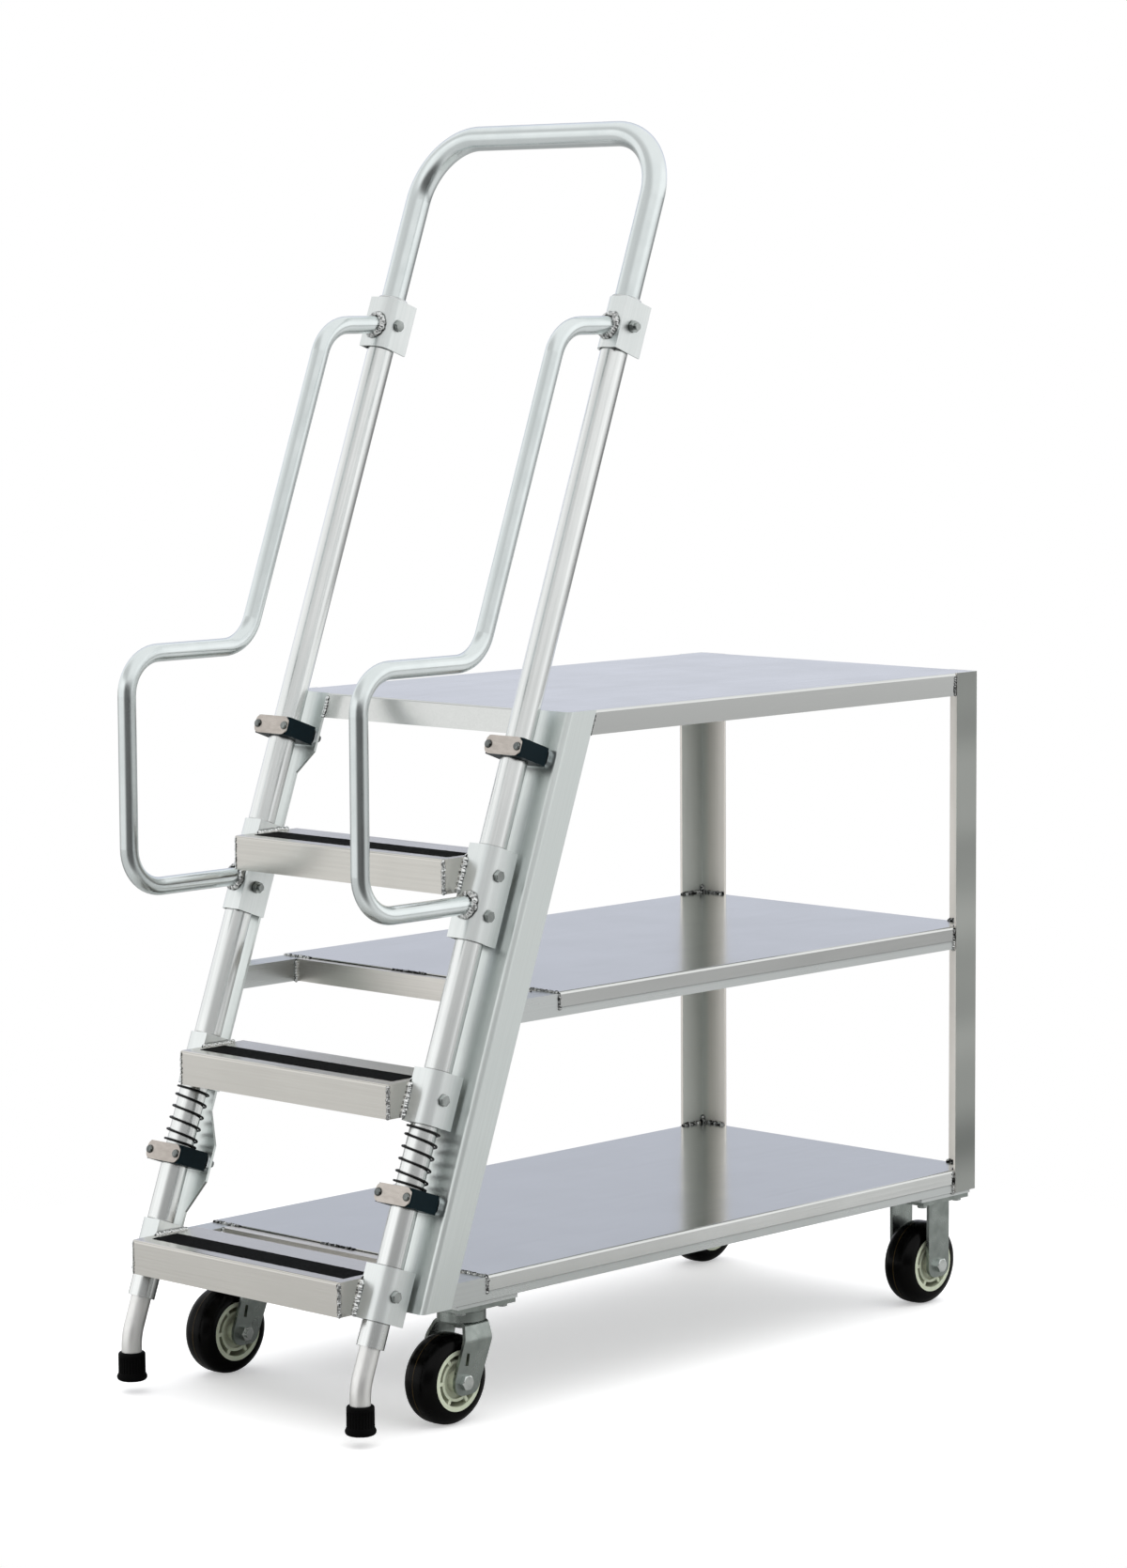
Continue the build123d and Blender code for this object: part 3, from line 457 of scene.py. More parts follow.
def mottle(tree, shader, place, dark, light, patch, detail=3.0, rough=None):
    """Gives a finish two tones in soft patches of a size, and two roughnesses where it is given them.

    Returns the patches and their colour.
    """
    patches = add_node(tree, "ShaderNodeTexNoise", {
        "Vector": place, "Scale": 1 / patch, "Detail": detail}).outputs[0]
    colour = add_node(tree, "ShaderNodeMix", {0: patches, 6: dark, 7: light}, data_type="RGBA").outputs[2]
    tree.links.new(colour, shader.inputs["Base Color"])
    if rough:
        spread = add_node(tree, "ShaderNodeMapRange", {
            "Value": patches, "To Min": rough[0], "To Max": rough[1]}).outputs[0]
        tree.links.new(spread, shader.inputs["Roughness"])
    return patches, colour


# Painted shadow: near black, mottled lighter in places.
material, tree, shader, place = start_material("painted_seam_shadow", Roughness=0.8, Specular_IOR_Level=0.1)
mottle(tree, shader, place, "#0E0F0F", "#6A6C6B", SHADOW_MOTTLE)
seams.data.materials.append(material)
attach(seams, "cart")

# Casters: plates and forks pressed from zinc plated steel, with hexagon bolts and axles.
# The plating is satin and a little blotchy, between bluish and straw.
BLOTCH = 0.018


def plated_steel(name, bright, dull, roughness):
    """Zinc plated steel: a soft grey shine in blotches the size of a fingertip."""
    material, tree, shader, place = start_material(name, Metallic=1.0)
    blotches = add_node(tree, "ShaderNodeTexNoise", {
        "Vector": place, "Scale": 1 / BLOTCH, "Detail": 4.0}).outputs[0]
    share = add_node(tree, "ShaderNodeMapRange", {
        "Value": blotches, "From Min": 0.35, "From Max": 0.65}).outputs[0]
    colour = add_node(tree, "ShaderNodeMix", {0: share, 6: dull, 7: bright}, data_type="RGBA").outputs[2]
    rough = add_node(tree, "ShaderNodeMapRange", {
        "Value": blotches, "From Min": 0.3, "From Max": 0.7,
        "To Min": roughness * 1.25, "To Max": roughness * 0.8}).outputs[0]
    tree.links.new(colour, shader.inputs["Base Color"])
    tree.links.new(rough, shader.inputs["Roughness"])
    return material


dress(plated_steel("zinc_plated_pressing", "#9CA39F", "#8A918D", 0.30),
      *sides("swivel_plate", "swivel_fork", "rigid_fork"))
dress(plated_steel("zinc_plated_bolt", "#B4B9B7", "#929795", 0.2),
      "caster_plate_bolts", "swivel_balls", "ladder_bolts")
dress(plated_steel("bright_zinc_axle", "#E2E6E4", "#C4C9C6", 0.2), *sides("swivel_axle"), "rigid_axles")

# Wheel cores: moulded from cream polyolefin, with ribs and pockets on both faces.
# Moulding leaves it matt and slightly mottled. Painted shade greys it in the pockets and wherever it is
# closed in.
CORE_MOTTLE = 0.012
POCKET_REACH = 0.02
POCKET_SHADE = "#C0C4B0"
material, tree, shader, place = start_material(
    "cream_polyolefin", Roughness=0.5, Subsurface_Weight=0.05, Subsurface_Radius=(0.003, 0.0025, 0.0015))
_, plain = mottle(tree, shader, place, "#DEE7CC", "#ECF4DC", CORE_MOTTLE)
# Painted shade: ambient occlusion greys the cream in the pockets and next to the ribs.
pocket = add_node(tree, "ShaderNodeAmbientOcclusion", {"Distance": POCKET_REACH}, samples=6).outputs["AO"]
pocket = add_node(tree, "ShaderNodeMapRange", {"Value": pocket, "From Min": 0.25, "From Max": 0.8}).outputs[0]
colour = add_node(tree, "ShaderNodeMix", {0: pocket, 6: POCKET_SHADE, 7: plain}, data_type="RGBA").outputs[2]
tree.links.new(colour, shader.inputs["Base Color"])
dress(material, *sides("front_wheel_core", "rear_wheel_core"))

# Wheel treads: black polyurethane cast round the cores, round in section and glossy.
# The mould's halves leave a thin ridge round the middle, where the amber of the bare resin shows.
TREAD_WIDE = 0.053
TREAD_INNER = 0.04203
TREAD_OUTER = 0.0622
TREAD_ROUND = 0.0197
TREAD_STEPS = 96
ROUND_STEPS = 12
CROWN_CUTS = 4
CROWN_TOP = TREAD_OUTER - 0.00001
MIDDLE_CUTS = 0.004
MIDDLE_SQUEEZE = 0.35
RIDGE_HIGH = 0.0003
RIDGE_HALF = 0.0007
RIDGE_AMBER = "#5A4826"
WHEEL_Y = 0.221
DUST = 0.02
bpy.ops.object.select_all(action="DESELECT")
bpy.ops.mesh.primitive_plane_add(size=1.0)
tread = bpy.context.active_object
bpy.ops.object.mode_set(mode="EDIT")
bpy.ops.mesh.select_all(action="SELECT")
bpy.ops.transform.resize(value=(TREAD_WIDE, TREAD_OUTER - TREAD_INNER, 1))
bpy.ops.transform.translate(value=(0, (TREAD_OUTER + TREAD_INNER) / 2, 0))
choose(lambda place: place.y > CROWN_TOP)
bpy.ops.mesh.bevel(offset=TREAD_ROUND, segments=ROUND_STEPS, affect="VERTICES")
choose(lambda place: place.y > CROWN_TOP)
bpy.ops.mesh.subdivide(number_cuts=CROWN_CUTS)
choose(lambda place: place.y > CROWN_TOP and abs(place.x) < MIDDLE_CUTS)
bpy.ops.transform.resize(value=(MIDDLE_SQUEEZE, 1, 1))
choose(lambda place: place.y > CROWN_TOP and abs(place.x) < RIDGE_HALF)
bpy.ops.transform.translate(value=(0, RIDGE_HIGH, 0))
bpy.ops.mesh.select_all(action="SELECT")
bpy.ops.mesh.delete(type="ONLY_FACE")
bpy.ops.mesh.select_all(action="SELECT")
bpy.ops.mesh.spin(steps=TREAD_STEPS, angle=2 * math.pi, center=(0, 0, 0), axis=(1, 0, 0))
bpy.ops.mesh.select_all(action="SELECT")
bpy.ops.mesh.remove_doubles(threshold=0.000001)
bpy.ops.mesh.normals_make_consistent(inside=False)
bpy.ops.object.mode_set(mode="OBJECT")
bpy.ops.object.shade_smooth_by_angle(angle=math.radians(40))

material, tree, shader, place = start_material("black_polyurethane", Specular_IOR_Level=0.10)
dust, black = mottle(tree, shader, place, "#020202", "#050505", DUST, 4.0, (0.12, 0.34))
across = add_node(tree, "ShaderNodeSeparateXYZ", {0: place}).outputs["Y"]
across = add_node(tree, "ShaderNodeMath", {0: across}, operation="ABSOLUTE").outputs[0]
on_ridge = add_node(tree, "ShaderNodeMath", {0: across, 1: WHEEL_Y, 2: RIDGE_HALF},
                    operation="COMPARE").outputs[0]
worn = add_node(tree, "ShaderNodeMath", {0: on_ridge, 1: dust}, operation="MULTIPLY").outputs[0]
colour = add_node(tree, "ShaderNodeMix", {0: worn, 6: black, 7: RIDGE_AMBER}, data_type="RGBA").outputs[2]
tree.links.new(colour, shader.inputs["Base Color"])
tread.data.materials.append(material)
for wheel in sides("front_wheel", "rear_wheel"):
    end, side = wheel.split("_wheel_")
    node = f"{end}_wheel_tread_{side}"
    low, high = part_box(node)
    piece = tread.copy()
    piece.data = tread.data.copy()
    piece.name = f"{end}_tread_{side}"
    piece.data.name = piece.name
    bpy.context.collection.objects.link(piece)
    piece.data.transform(Matrix.Translation((low + high) / 2) @ Matrix.Rotation(math.pi / 2, 4, "Z"))
    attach(piece, wheel)
    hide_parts(node)
bpy.data.objects.remove(tread)

# Guides: blocks sawn from dark acetal that the rails slide in, matt with fine saw marks.
# Two button head screws clamp each one to its stringer, between a brushed steel face plate and a back plate.
ACETAL_CLOUD = 0.015
SAW_MARK = 0.0015
SAW_DEEP = 0.0002
BRUSH_LINE = (0.014, 0.005, 0.005)
BRUSH_RELIEF = 0.02
material, tree, shader, place = start_material("black_acetal", Roughness=0.42, Specular_IOR_Level=0.1)
mottle(tree, shader, place, "#04171D", "#0A2128", ACETAL_CLOUD, 4.0)
saw = add_node(tree, "ShaderNodeTexNoise", {"Vector": place, "Scale": 1 / SAW_MARK, "Detail": 2.0}).outputs[0]
marks = add_node(tree, "ShaderNodeBump", {"Height": saw, "Strength": 0.1, "Distance": SAW_DEEP}).outputs[0]
tree.links.new(marks, shader.inputs["Normal"])
dress(material, *sides("lower_guide_block", "upper_guide_block"))
# The face plates' colour carries painted shade round the screw heads.
dress(mill_aluminium("brushed_steel_plate", "#C4BDB6", "#B2ABA4", 0.30, ACROSS_GRAIN, BRUSH_LINE,
                     BRUSH_RELIEF, shade_reach=0.0025), "guide_face_plates")
dress(plated_steel("back_plate_steel", "#C3C8CA", "#AEB4B6", 0.32), "guide_back_plates")
dress(plated_steel("screw_steel", "#8C908E", "#5E6262", 0.18), "guide_screws")

# Springs: coiled left-handed from 3.2 mm wire with closed end turns, blackened and lightly oiled.
# Each stands on a lower guide block round its rail and pushes up the middle step's bracket.
WIRE = 0.0032
COIL_RADIUS = 0.0224
COIL_START = 0.3578
COIL_END = 0.4417
TURNS = 6
TURN_STEPS = 40
WIRE_SIDES = 10
CLOSED_PITCH = 0.0083
OIL = 0.008
coil_length = COIL_END - COIL_START
open_pitch = (coil_length - 2 * CLOSED_PITCH) / (TURNS - 2)

material, tree, shader, place = start_material("blackened_spring_steel", Specular_IOR_Level=0.25)
mottle(tree, shader, place, "#040404", "#0B0B0C", OIL, rough=(0.25, 0.5))
for side, sign in (("left", 1), ("right", -1)):
    bpy.ops.object.select_all(action="DESELECT")
    bpy.ops.mesh.primitive_circle_add(vertices=WIRE_SIDES, radius=WIRE / 2)
    spring = bpy.context.active_object
    bpy.ops.object.mode_set(mode="EDIT")
    bpy.ops.transform.rotate(value=math.pi / 2, orient_axis="X", center_override=(0, 0, 0))
    bpy.ops.transform.translate(value=(COIL_RADIUS, 0, 0))
    bpy.ops.object.mode_set(mode="OBJECT")
    winding = spring.modifiers.new("winding", "SCREW")
    winding.axis = "Z"
    winding.angle = 2 * math.pi
    winding.iterations = TURNS
    winding.steps = TURN_STEPS
    winding.render_steps = TURN_STEPS
    winding.screw_offset = -coil_length / TURNS
    bpy.ops.object.modifier_apply(modifier="winding")
    for vertex in spring.data.vertices:
        turn = (vertex.index // WIRE_SIDES) / TURN_STEPS
        wound = min(turn, 1) + min(max(turn - TURNS + 1, 0), 1)
        lift = wound * CLOSED_PITCH + (turn - wound) * open_pitch
        vertex.co.z += coil_length + turn * coil_length / TURNS - lift
    bpy.ops.object.mode_set(mode="EDIT")
    bpy.ops.mesh.select_all(action="SELECT")
    bpy.ops.mesh.fill_holes(sides=WIRE_SIDES)
    bpy.ops.mesh.select_all(action="SELECT")
    bpy.ops.mesh.normals_make_consistent(inside=False)
    bpy.ops.object.mode_set(mode="OBJECT")
    bpy.ops.object.shade_smooth_by_angle(angle=math.radians(50))
    coil_foot = on_rail(0, sign * rail_middle.y, COIL_START)
    spring.rotation_euler = (0, lean, 0)
    spring.location = coil_foot
    bpy.ops.object.transform_apply(location=True, rotation=True, scale=True)
    spring.name = f"coil_spring_{side}"
    spring.data.name = spring.name
    spring.data.materials.append(material)
    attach(spring, "cart")
    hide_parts(f"spring_{side}")
    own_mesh(spring)

# Rails, legs, handrails and handle: drawn aluminium tube, smooth and rather bright.
# Only faint drawing lines and handling clouds break up the long reflections. The legs fit into the rails.
TUBE_CLOUD = (0.035, 0.035, 0.035)
TUBE_RELIEF = 0.003
# The rails' colour carries painted shade where the brackets and guides meet them.
dress(mill_aluminium("drawn_rail_tube", "#EEF0EF", "#E7EAE9", 0.22, LEANING_GRAIN, relief=TUBE_RELIEF,
                     shade_reach=0.003), *sides("rail"))
dress(mill_aluminium("drawn_leg_tube", "#F6F6F4", "#F0F0EE", 0.42, UPRIGHT_GRAIN, relief=TUBE_RELIEF),
      *sides("leg"))
dress(mill_aluminium("bent_tube", "#E3E9E9", "#DCE3E3", 0.23, line=TUBE_CLOUD, relief=TUBE_RELIEF),
      *sides("handrail"), "handle_loop")

# Rubber tips: black rubber cups pushed over the legs, fluted round the side, with a flared foot.
# Moulded rubber is matt, with a grey bloom in soft patches.
TIP_RADIUS = 0.019
TIP_HIGH = 0.040
TIP_FLARE = 0.02125
TIP_FOOT = 0.006
FOOT_ROUND = 0.005
SHOULDER_ROUND = 0.0035
FLUTE_FOOT = 0.011
FLUTE_TOP = 0.034
FLUTE_DEEP = 0.0007
FLUTE_EDGE = 0.0004
FLUTE_SIDES = 56
LEG_RADIUS = 0.01425
SOCKET_DEEP = 0.030
SOLE_EDGE = 0.004
SOLE_DEEP = 0.002
EDGE_ROUND = 0.0006
BLOOM = 0.006
tip_low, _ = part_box("foot_tips")
bpy.ops.object.select_all(action="DESELECT")
bpy.ops.mesh.primitive_cylinder_add(vertices=FLUTE_SIDES, radius=TIP_RADIUS, depth=TIP_HIGH,
                                    location=(0, 0, TIP_HIGH / 2))
tip = bpy.context.active_object
bpy.ops.object.transform_apply(location=True)
bpy.ops.object.mode_set(mode="EDIT")
for height in (TIP_FOOT, FLUTE_FOOT, FLUTE_TOP):
    bpy.ops.mesh.select_all(action="SELECT")
    bpy.ops.mesh.bisect(plane_co=(0, 0, height), plane_no=(0, 0, 1))
choose(lambda place: place.z < TIP_FOOT + 0.0001)
bpy.ops.transform.resize(value=(TIP_FLARE / TIP_RADIUS, TIP_FLARE / TIP_RADIUS, 1))


def choose_faces(test):
    """In edit mode, selects just the active piece's faces whose centre and normal pass a test."""
    bpy.ops.mesh.select_all(action="DESELECT")
    bpy.ops.mesh.select_mode(type="FACE")
    shape = bmesh.from_edit_mesh(bpy.context.active_object.data)
    for face in shape.faces:
        face.select_set(test(face.calc_center_median(), face.normal))
    bmesh.update_edit_mesh(bpy.context.active_object.data)


def in_flute(place, normal):
    """Whether a face of the tip lies in one of the flutes, which are every other face round the side."""
    around = math.atan2(place.y, place.x) % (2 * math.pi) / (2 * math.pi) * FLUTE_SIDES
    return FLUTE_FOOT < place.z < FLUTE_TOP and abs(normal.z) < 0.5 and round(around - 0.5) % 2 == 0


for way, round_edge in ((1, SHOULDER_ROUND), (-1, FOOT_ROUND)):
    choose_faces(lambda place, normal: way * normal.z > 0.9)
    bpy.ops.mesh.bevel(offset=round_edge, segments=5, affect="EDGES")
choose_faces(lambda place, normal: normal.z > 0.999)
bpy.ops.mesh.inset(thickness=TIP_RADIUS - SHOULDER_ROUND - LEG_RADIUS)
bpy.ops.mesh.extrude_region_move(TRANSFORM_OT_translate={"value": (0, 0, -SOCKET_DEEP)})
choose_faces(lambda place, normal: normal.z < -0.999)
bpy.ops.mesh.inset(thickness=SOLE_EDGE)
bpy.ops.transform.translate(value=(0, 0, SOLE_DEEP))
choose_faces(in_flute)
bpy.ops.mesh.inset(thickness=FLUTE_EDGE, depth=-FLUTE_DEEP, use_individual=True)
bpy.ops.mesh.select_mode(type="VERT")
bpy.ops.object.mode_set(mode="OBJECT")
edges = tip.modifiers.new("rounded_edges", "BEVEL")
edges.width = EDGE_ROUND
edges.segments = 2
edges.limit_method = "ANGLE"
edges.angle_limit = math.radians(50)
bpy.ops.object.modifier_apply(modifier="rounded_edges")
bpy.ops.object.shade_smooth_by_angle(angle=math.radians(35))
leg_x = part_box("leg_left")[0].x + LEG_RADIUS
tip.data.transform(Matrix.Translation((leg_x, rail_middle.y, tip_low.z)))
other_tip = tip.copy()
other_tip.data = tip.data.copy()
bpy.context.collection.objects.link(other_tip)
other_tip.data.transform(Matrix.Translation((0, -2 * rail_middle.y, 0)))
tip = join_pieces("rubber_tips", [tip, other_tip])

material, tree, shader, place = start_material("black_rubber", Specular_IOR_Level=0.05)
mottle(tree, shader, place, "#030303", "#090909", BLOOM, 4.0, (0.45, 0.75))
tip.data.materials.append(material)
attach(tip, "ladder")
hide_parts("foot_tips")

# Steps and their brackets: trays and channels folded from aluminium sheet, a little warmer than the decks.
# The grain runs across the steps and up the brackets, and bolts hold each bracket to its rail.
STEPS = ("lower_step", "middle_step", "upper_step")
dress(mill_aluminium("folded_step_sheet", "#D8D6D0", "#D2D0CA", 0.22, ACROSS_GRAIN), *STEPS)
# The brackets' colour carries painted shade round their bolts and welds and where they meet the rails.
dress(mill_aluminium("folded_bracket_sheet", "#EEF2F1", "#E6EBEA", 0.36, LEANING_GRAIN, shade_reach=0.003),
      *[f"{step}_brackets" for step in STEPS], *sides("top_bracket"))

# Grip strips: black anti-slip tape, one stuck along each step, covered in mineral grit.
# The grains are about 0.3 mm. They are drawn 1.6 mm across so that they show.
GRIP_WIDE = 0.046
GRIP_SETBACK = 0.0235
GRIP_END = 0.016
GRIP_THICK = 0.001
GRIP_CELLS = (42, 350)
GRIT = 0.0016
GRIT_HIGH = 0.0008
grit_texture = bpy.data.textures.new("grit", "CLOUDS")
grit_texture.noise_scale = GRIT
grit_texture.noise_depth = 1
strips = []
for step in STEPS:
    low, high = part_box(step)
    length = high.y - low.y - 2 * GRIP_END
    bpy.ops.object.select_all(action="DESELECT")
    bpy.ops.mesh.primitive_grid_add(x_subdivisions=GRIP_CELLS[0], y_subdivisions=GRIP_CELLS[1], size=1.0)
    strip = bpy.context.active_object
    bpy.ops.object.mode_set(mode="EDIT")
    bpy.ops.transform.resize(value=(GRIP_WIDE, length, 1))
    bpy.ops.object.mode_set(mode="OBJECT")
    grains = strip.modifiers.new("grains", "DISPLACE")
    grains.texture = grit_texture
    grains.strength = GRIT_HIGH
    grains.mid_level = 1.0
    bpy.ops.object.modifier_apply(modifier="grains")
    bpy.ops.object.mode_set(mode="EDIT")
    bpy.ops.transform.translate(value=(0, 0, GRIP_THICK))
    bpy.ops.mesh.region_to_loop()
    bpy.ops.mesh.extrude_region_move()
    bpy.ops.transform.resize(value=(1, 1, 0), center_override=(0, 0, 0))
    bpy.ops.mesh.edge_face_add()
    bpy.ops.mesh.select_all(action="SELECT")
    bpy.ops.mesh.normals_make_consistent(inside=False)
    bpy.ops.mesh.select_mode(type="VERT")
    bpy.ops.object.mode_set(mode="OBJECT")
    strip.data.transform(Matrix.Translation((low.x + GRIP_SETBACK + GRIP_WIDE / 2, 0, high.z)))
    strips.append(strip)
grip = join_pieces("grit_strips", strips)

material, tree, shader, place = start_material("grit_tape", Roughness=0.75, Specular_IOR_Level=0.06)
grains = add_node(tree, "ShaderNodeTexVoronoi", {"Vector": place, "Scale": 1 / GRIT}).outputs["Color"]
grey = add_node(tree, "ShaderNodeSeparateXYZ", {0: grains}).outputs["X"]
grey = add_node(tree, "ShaderNodeMapRange", {"Value": grey, "From Min": 0.6, "From Max": 1.0}).outputs[0]
colour = add_node(tree, "ShaderNodeMix", {0: grey, 6: "#060707", 7: "#141515"}, data_type="RGBA").outputs[2]
tree.links.new(colour, shader.inputs["Base Color"])
grip.data.materials.append(material)
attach(grip, "ladder")
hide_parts("grip_strips")

# Step welds: each step's end walls are welded to its front and to its brackets.
# One bead runs up the front corner, darker on the right than on the left, one up the bracket's front and one
# along the top.
STEP_CORNER_BEADS = {-1: (0.0060, 0.0013, 0.30), 1: (0.0060, 0.0013, -0.60)}
STEP_CORNER_STEP = 0.3
STEP_CORNER_STOPS = (0.002, 0.003)
STEP_CORNER_IN = 0.0008
BRACKET_BEAD = (0.010, 0.0030, 0.15)
BRACKET_STEP = 0.24
BRACKET_STOPS = (0.003, 0.002)
BRACKET_FRONT = -0.0224
BRACKET_REAR = 0.0284
STEP_TOP_BEAD = (0.008, 0.003, 0.0)
STEP_TOP_RISE = 0.0006
for step in STEPS:
    low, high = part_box(step)
    for side in (-1, 1):
        upright_bead(low.x + STEP_CORNER_IN, side * (high.y - STEP_CORNER_IN), low.z + STEP_CORNER_STOPS[0],
                     high.z - STEP_CORNER_STOPS[1], (-1, side, 0), STEP_CORNER_BEADS[side], STEP_CORNER_STEP)
        leaning_bead(BRACKET_FRONT - STAND_OFF, side * (high.y + STAND_OFF), low.z + BRACKET_STOPS[0],
                     high.z - BRACKET_STOPS[1], -behind_rail + Vector((0, side, 0)), BRACKET_BEAD,
                     BRACKET_STEP)
        top_y = side * (high.y - STAND_OFF)
        top_z = high.z + STEP_TOP_RISE
        straight_bead(at_height(BRACKET_REAR, top_y, top_z),
                      at_height(BRACKET_FRONT - STAND_OFF, top_y, top_z), (0, -side, 1), STEP_TOP_BEAD)
finish_beads("step_welds", "ladder")

# Handrail welds: each end of a handrail is cut to the lean and welded all round to a bracket's front.
# The beads are lumpy rings, laid by hand.
HANDRAIL_RADIUS = 0.0127
RING_BEAD = (0.0120, 0.0046, 0.3)
RING_STEP = 0.26
RING_PARTS = 28
RING_GAP = 0.0012
RING_OUT = 0.0008
for name in sides("handrail"):
    low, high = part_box(name)
    across = (low.y + high.y) / 2
    for height in (low.z + HANDRAIL_RADIUS, high.z - HANDRAIL_RADIUS):
        middle = at_height(BRACKET_FRONT, across, height)
        ring = []
        ways = []
        for part in range(RING_PARTS + 1):
            turn = 2 * math.pi * part / RING_PARTS
            spoke = math.cos(turn) * Vector((0, 1, 0)) + math.sin(turn) / math.cos(lean) * up_rail
            ring.append(middle + (HANDRAIL_RADIUS + RING_GAP) * spoke - RING_OUT * behind_rail)
            ways.append(spoke - behind_rail)
        lay_bead(ring, ways, RING_BEAD, RING_STEP)
finish_beads("handrail_welds", "ladder")
bpy.data.objects.remove(ripple)

# Handle welds: a smooth ground fillet closes each top bracket round the foot of the handle.
# It is open at the back, where the bracket is. Grinding leaves it bright, with fine scratches every way.
FILLET_MAJOR = 0.0190
FILLET_MINOR = 0.0030
FILLET_ALONG = 1.609
FILLET_BACK = 0.011
FILLET_RISE = 1.25
GRIND_MARK = (0.006, 0.006, 0.006)
GRIND_RELIEF = 0.05
fillets = []
for side in (-1, 1):
    bpy.ops.object.select_all(action="DESELECT")
    bpy.ops.mesh.primitive_torus_add(major_radius=FILLET_MAJOR, minor_radius=FILLET_MINOR,
                                     major_segments=56, minor_segments=14)
    fillet = bpy.context.active_object
    bpy.ops.object.mode_set(mode="EDIT")
    bpy.ops.mesh.select_all(action="SELECT")
    bpy.ops.mesh.bisect(plane_co=(FILLET_BACK, 0, 0), plane_no=(1, 0, 0), use_fill=True, clear_outer=True)
    choose(lambda place: place.z > 0)
    bpy.ops.transform.resize(value=(1, 1, FILLET_RISE), center_override=(0, 0, 0))
    bpy.ops.object.mode_set(mode="OBJECT")
    bpy.ops.object.shade_smooth_by_angle(angle=math.radians(40))
    fillet.rotation_euler = (0, lean, 0)
    fillet.location = on_rail(0, side * rail_middle.y, FILLET_ALONG)
    bpy.ops.object.transform_apply(location=True, rotation=True, scale=True)
    fillets.append(fillet)
collar = join_pieces("handle_welds", fillets)
collar.data.materials.append(mill_aluminium(
    "ground_weld", "#E2E4E4", "#C6C9C9", 0.22, line=GRIND_MARK, relief=GRIND_RELIEF))
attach(collar, "ladder")

# Floor: a small round of pale matt flooring that fades out into the white surround, with faint clouding.
# Seen directly it glows a little, as under a bright lamp. The metal reflects it as a greyer floor.
FLOOR_RADIUS = 1.35
FLOOR_SOLID = 0.75
FLOOR_CLOUD = 1.25
FLOOR_GLOW = 0.4
FLOOR_GREY = "#B0B0AE"
bpy.ops.object.select_all(action="DESELECT")
bpy.ops.mesh.primitive_circle_add(vertices=128, radius=FLOOR_RADIUS, fill_type="NGON")
floor = bpy.context.active_object
floor.name = "floor"
material, tree, shader, place = start_material("pale_floor", Roughness=0.8)
_, pale = mottle(tree, shader, place, "#F3F3F3", "#F7F7F7", FLOOR_CLOUD, 2.0)
away = add_node(tree, "ShaderNodeVectorMath", {0: place}, operation="LENGTH").outputs["Value"]
solid = add_node(tree, "ShaderNodeMapRange", {
    "Value": away, "From Min": FLOOR_SOLID, "From Max": FLOOR_RADIUS, "To Min": 1.0, "To Max": 0.0},
    interpolation_type="SMOOTHSTEP").outputs[0]
seen = add_node(tree, "ShaderNodeLightPath").outputs["Is Camera Ray"]
colour = add_node(tree, "ShaderNodeMix", {0: seen, 6: FLOOR_GREY, 7: pale}, data_type="RGBA").outputs[2]
glow = add_node(tree, "ShaderNodeMath", {0: seen, 1: FLOOR_GLOW}, operation="MULTIPLY").outputs[0]
tree.links.new(colour, shader.inputs["Base Color"])
tree.links.new(solid, shader.inputs["Alpha"])
tree.links.new(glow, shader.inputs["Emission Strength"])
floor.data.materials.append(material)

# Studio: a plain white surround and a wide soft lamp overhead, which is left out of reflections so that the
# shelves don't turn white from above. What the metal reflects is a large room, darkest low on the camera's
# side, greyer towards the ground and faintly blue high at the rear.
WHITE = "#FFFFFF"
SKY_BLUE = "#EDF1FF"
LAMP_STRENGTH = 1.2
LAMP_ANGLE = 90
UPWARDS = (0, 0, 1)
GAP_SLOPE = (0.395, 0.060, 1)
TO_THE_GAP = (-0.517, -0.856, 0)
TO_THE_RIGHT = (0.693, -0.721, 0)
TO_THE_LEFT = (-0.934, 0.358, 0)
TO_THE_REAR = (0.721, 0.693, 0)
SKY = ((TO_THE_REAR, 0.60, 0.90), (UPWARDS, 0.0, 0.08))
# How much each part of the room is dimmed, and its bounds: an aim, where it starts and where it is full
DIMMED = ((0.87, (TO_THE_GAP, 0.50, 0.88), (GAP_SLOPE, 0.19, -0.10)),
          (0.20, (TO_THE_RIGHT, 0.10, 0.60), (UPWARDS, 0.02, -0.08)),
          (0.62, (TO_THE_RIGHT, 0.10, 0.60), (UPWARDS, -0.07, -0.11), (UPWARDS, -0.18, -0.14)),
          (-0.14, (TO_THE_RIGHT, 0.70, 0.90), (UPWARDS, -0.02, 0.06)),
          (-0.15, (TO_THE_LEFT, 0.75, 0.92), (UPWARDS, 0.12, 0.28)),
          (0.36, (TO_THE_LEFT, 0.30, 0.70), (UPWARDS, 0.42, 0.50)),
          (0.34, (TO_THE_RIGHT, 0.10, -0.60), (UPWARDS, -0.06, -0.24)),
          (0.50, (TO_THE_REAR, 0.25, 0.70), (UPWARDS, 0.05, -0.05)),
          (0.33, (TO_THE_REAR, 0.80, 0.96), (UPWARDS, 0.0, 0.2)))
world = bpy.data.worlds.new("studio")
world.use_nodes = True
tree = world.node_tree
way = add_node(tree, "ShaderNodeTexCoord").outputs["Generated"]


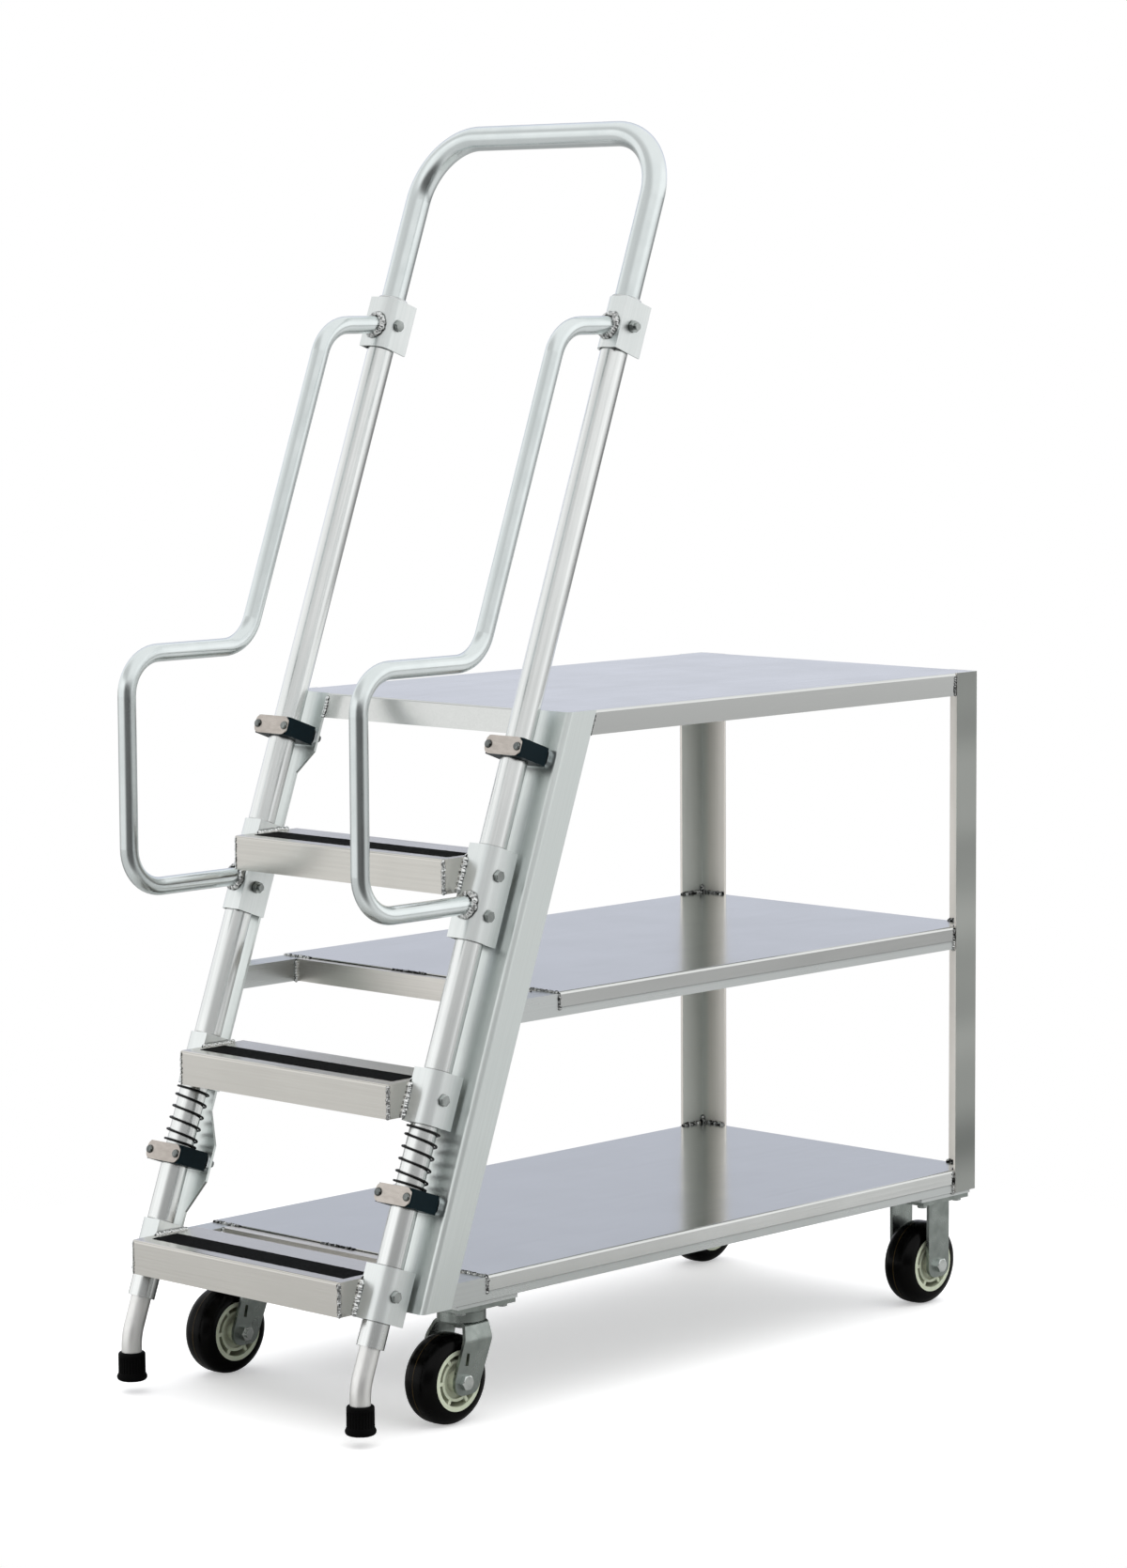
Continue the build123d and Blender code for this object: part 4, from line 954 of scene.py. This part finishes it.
def part_of_room(bounds):
    """How far a direction lies inside a part of the room, from 0 to 1."""
    share = 1.0
    for aim, start, full in bounds:
        part = add_node(tree, "ShaderNodeVectorMath", {0: way, 1: aim},
                        operation="DOT_PRODUCT").outputs["Value"]
        part = add_node(tree, "ShaderNodeMapRange", {"Value": part, "From Min": start, "From Max": full},
                        interpolation_type="SMOOTHSTEP").outputs[0]
        share = add_node(tree, "ShaderNodeMath", {0: share, 1: part}, operation="MULTIPLY").outputs[0]
    return share


strength = 1.0
for dim, *bounds in DIMMED:
    left = add_node(tree, "ShaderNodeMath", {0: part_of_room(bounds), 1: -dim, 2: 1.0},
                    operation="MULTIPLY_ADD").outputs[0]
    strength = add_node(tree, "ShaderNodeMath", {0: strength, 1: left}, operation="MULTIPLY").outputs[0]
sky = part_of_room(SKY)
tint = add_node(tree, "ShaderNodeMix", {0: sky, 6: WHITE, 7: SKY_BLUE}, data_type="RGBA").outputs[2]
seen = add_node(tree, "ShaderNodeLightPath").outputs["Is Camera Ray"]
strength = add_node(tree, "ShaderNodeMix", {0: seen, 2: strength, 3: 1.0}).outputs[0]
tint = add_node(tree, "ShaderNodeMix", {0: seen, 6: tint, 7: WHITE}, data_type="RGBA").outputs[2]
background = tree.nodes["Background"]
tree.links.new(tint, background.inputs["Color"])
tree.links.new(strength, background.inputs["Strength"])
bpy.context.scene.world = world
bpy.context.scene.view_settings.view_transform = "Standard"

bpy.ops.object.light_add(type="SUN", location=(0, 0, 4.0))
lamp = bpy.context.active_object
lamp.data.energy = LAMP_STRENGTH
lamp.data.angle = math.radians(LAMP_ANGLE)
lamp.visible_glossy = False

# Camera: where the photograph was taken from, as its vanishing points and the cart's corners give it.
# It looks a little down through a long lens, and is turned by a third of a degree.
CAMERA_PLACE = (-4.73684, -4.54964, 1.52761)
CAMERA_LENS = 105.47
SENSOR_HIGH = 36
yaw = math.radians(43.69)
pitch = math.radians(6.16)
roll = math.radians(0.33)
ahead = Vector((math.cos(yaw) * math.cos(pitch), math.sin(yaw) * math.cos(pitch), -math.sin(pitch)))
level_right = Vector((math.sin(yaw), -math.cos(yaw), 0))
level_down = ahead.cross(level_right)
camera_right = math.cos(roll) * level_right + math.sin(roll) * level_down
camera_down = math.cos(roll) * level_down - math.sin(roll) * level_right
camera_data = bpy.data.cameras.new("camera")
camera_data.sensor_fit = "VERTICAL"
camera_data.sensor_height = SENSOR_HIGH
camera_data.lens = CAMERA_LENS
camera = bpy.data.objects.new("camera", camera_data)
bpy.context.scene.collection.objects.link(camera)
camera_axes = Matrix((camera_right, -camera_down, -ahead)).transposed().to_4x4()
camera.matrix_world = Matrix.Translation(CAMERA_PLACE) @ camera_axes
bpy.context.scene.camera = camera
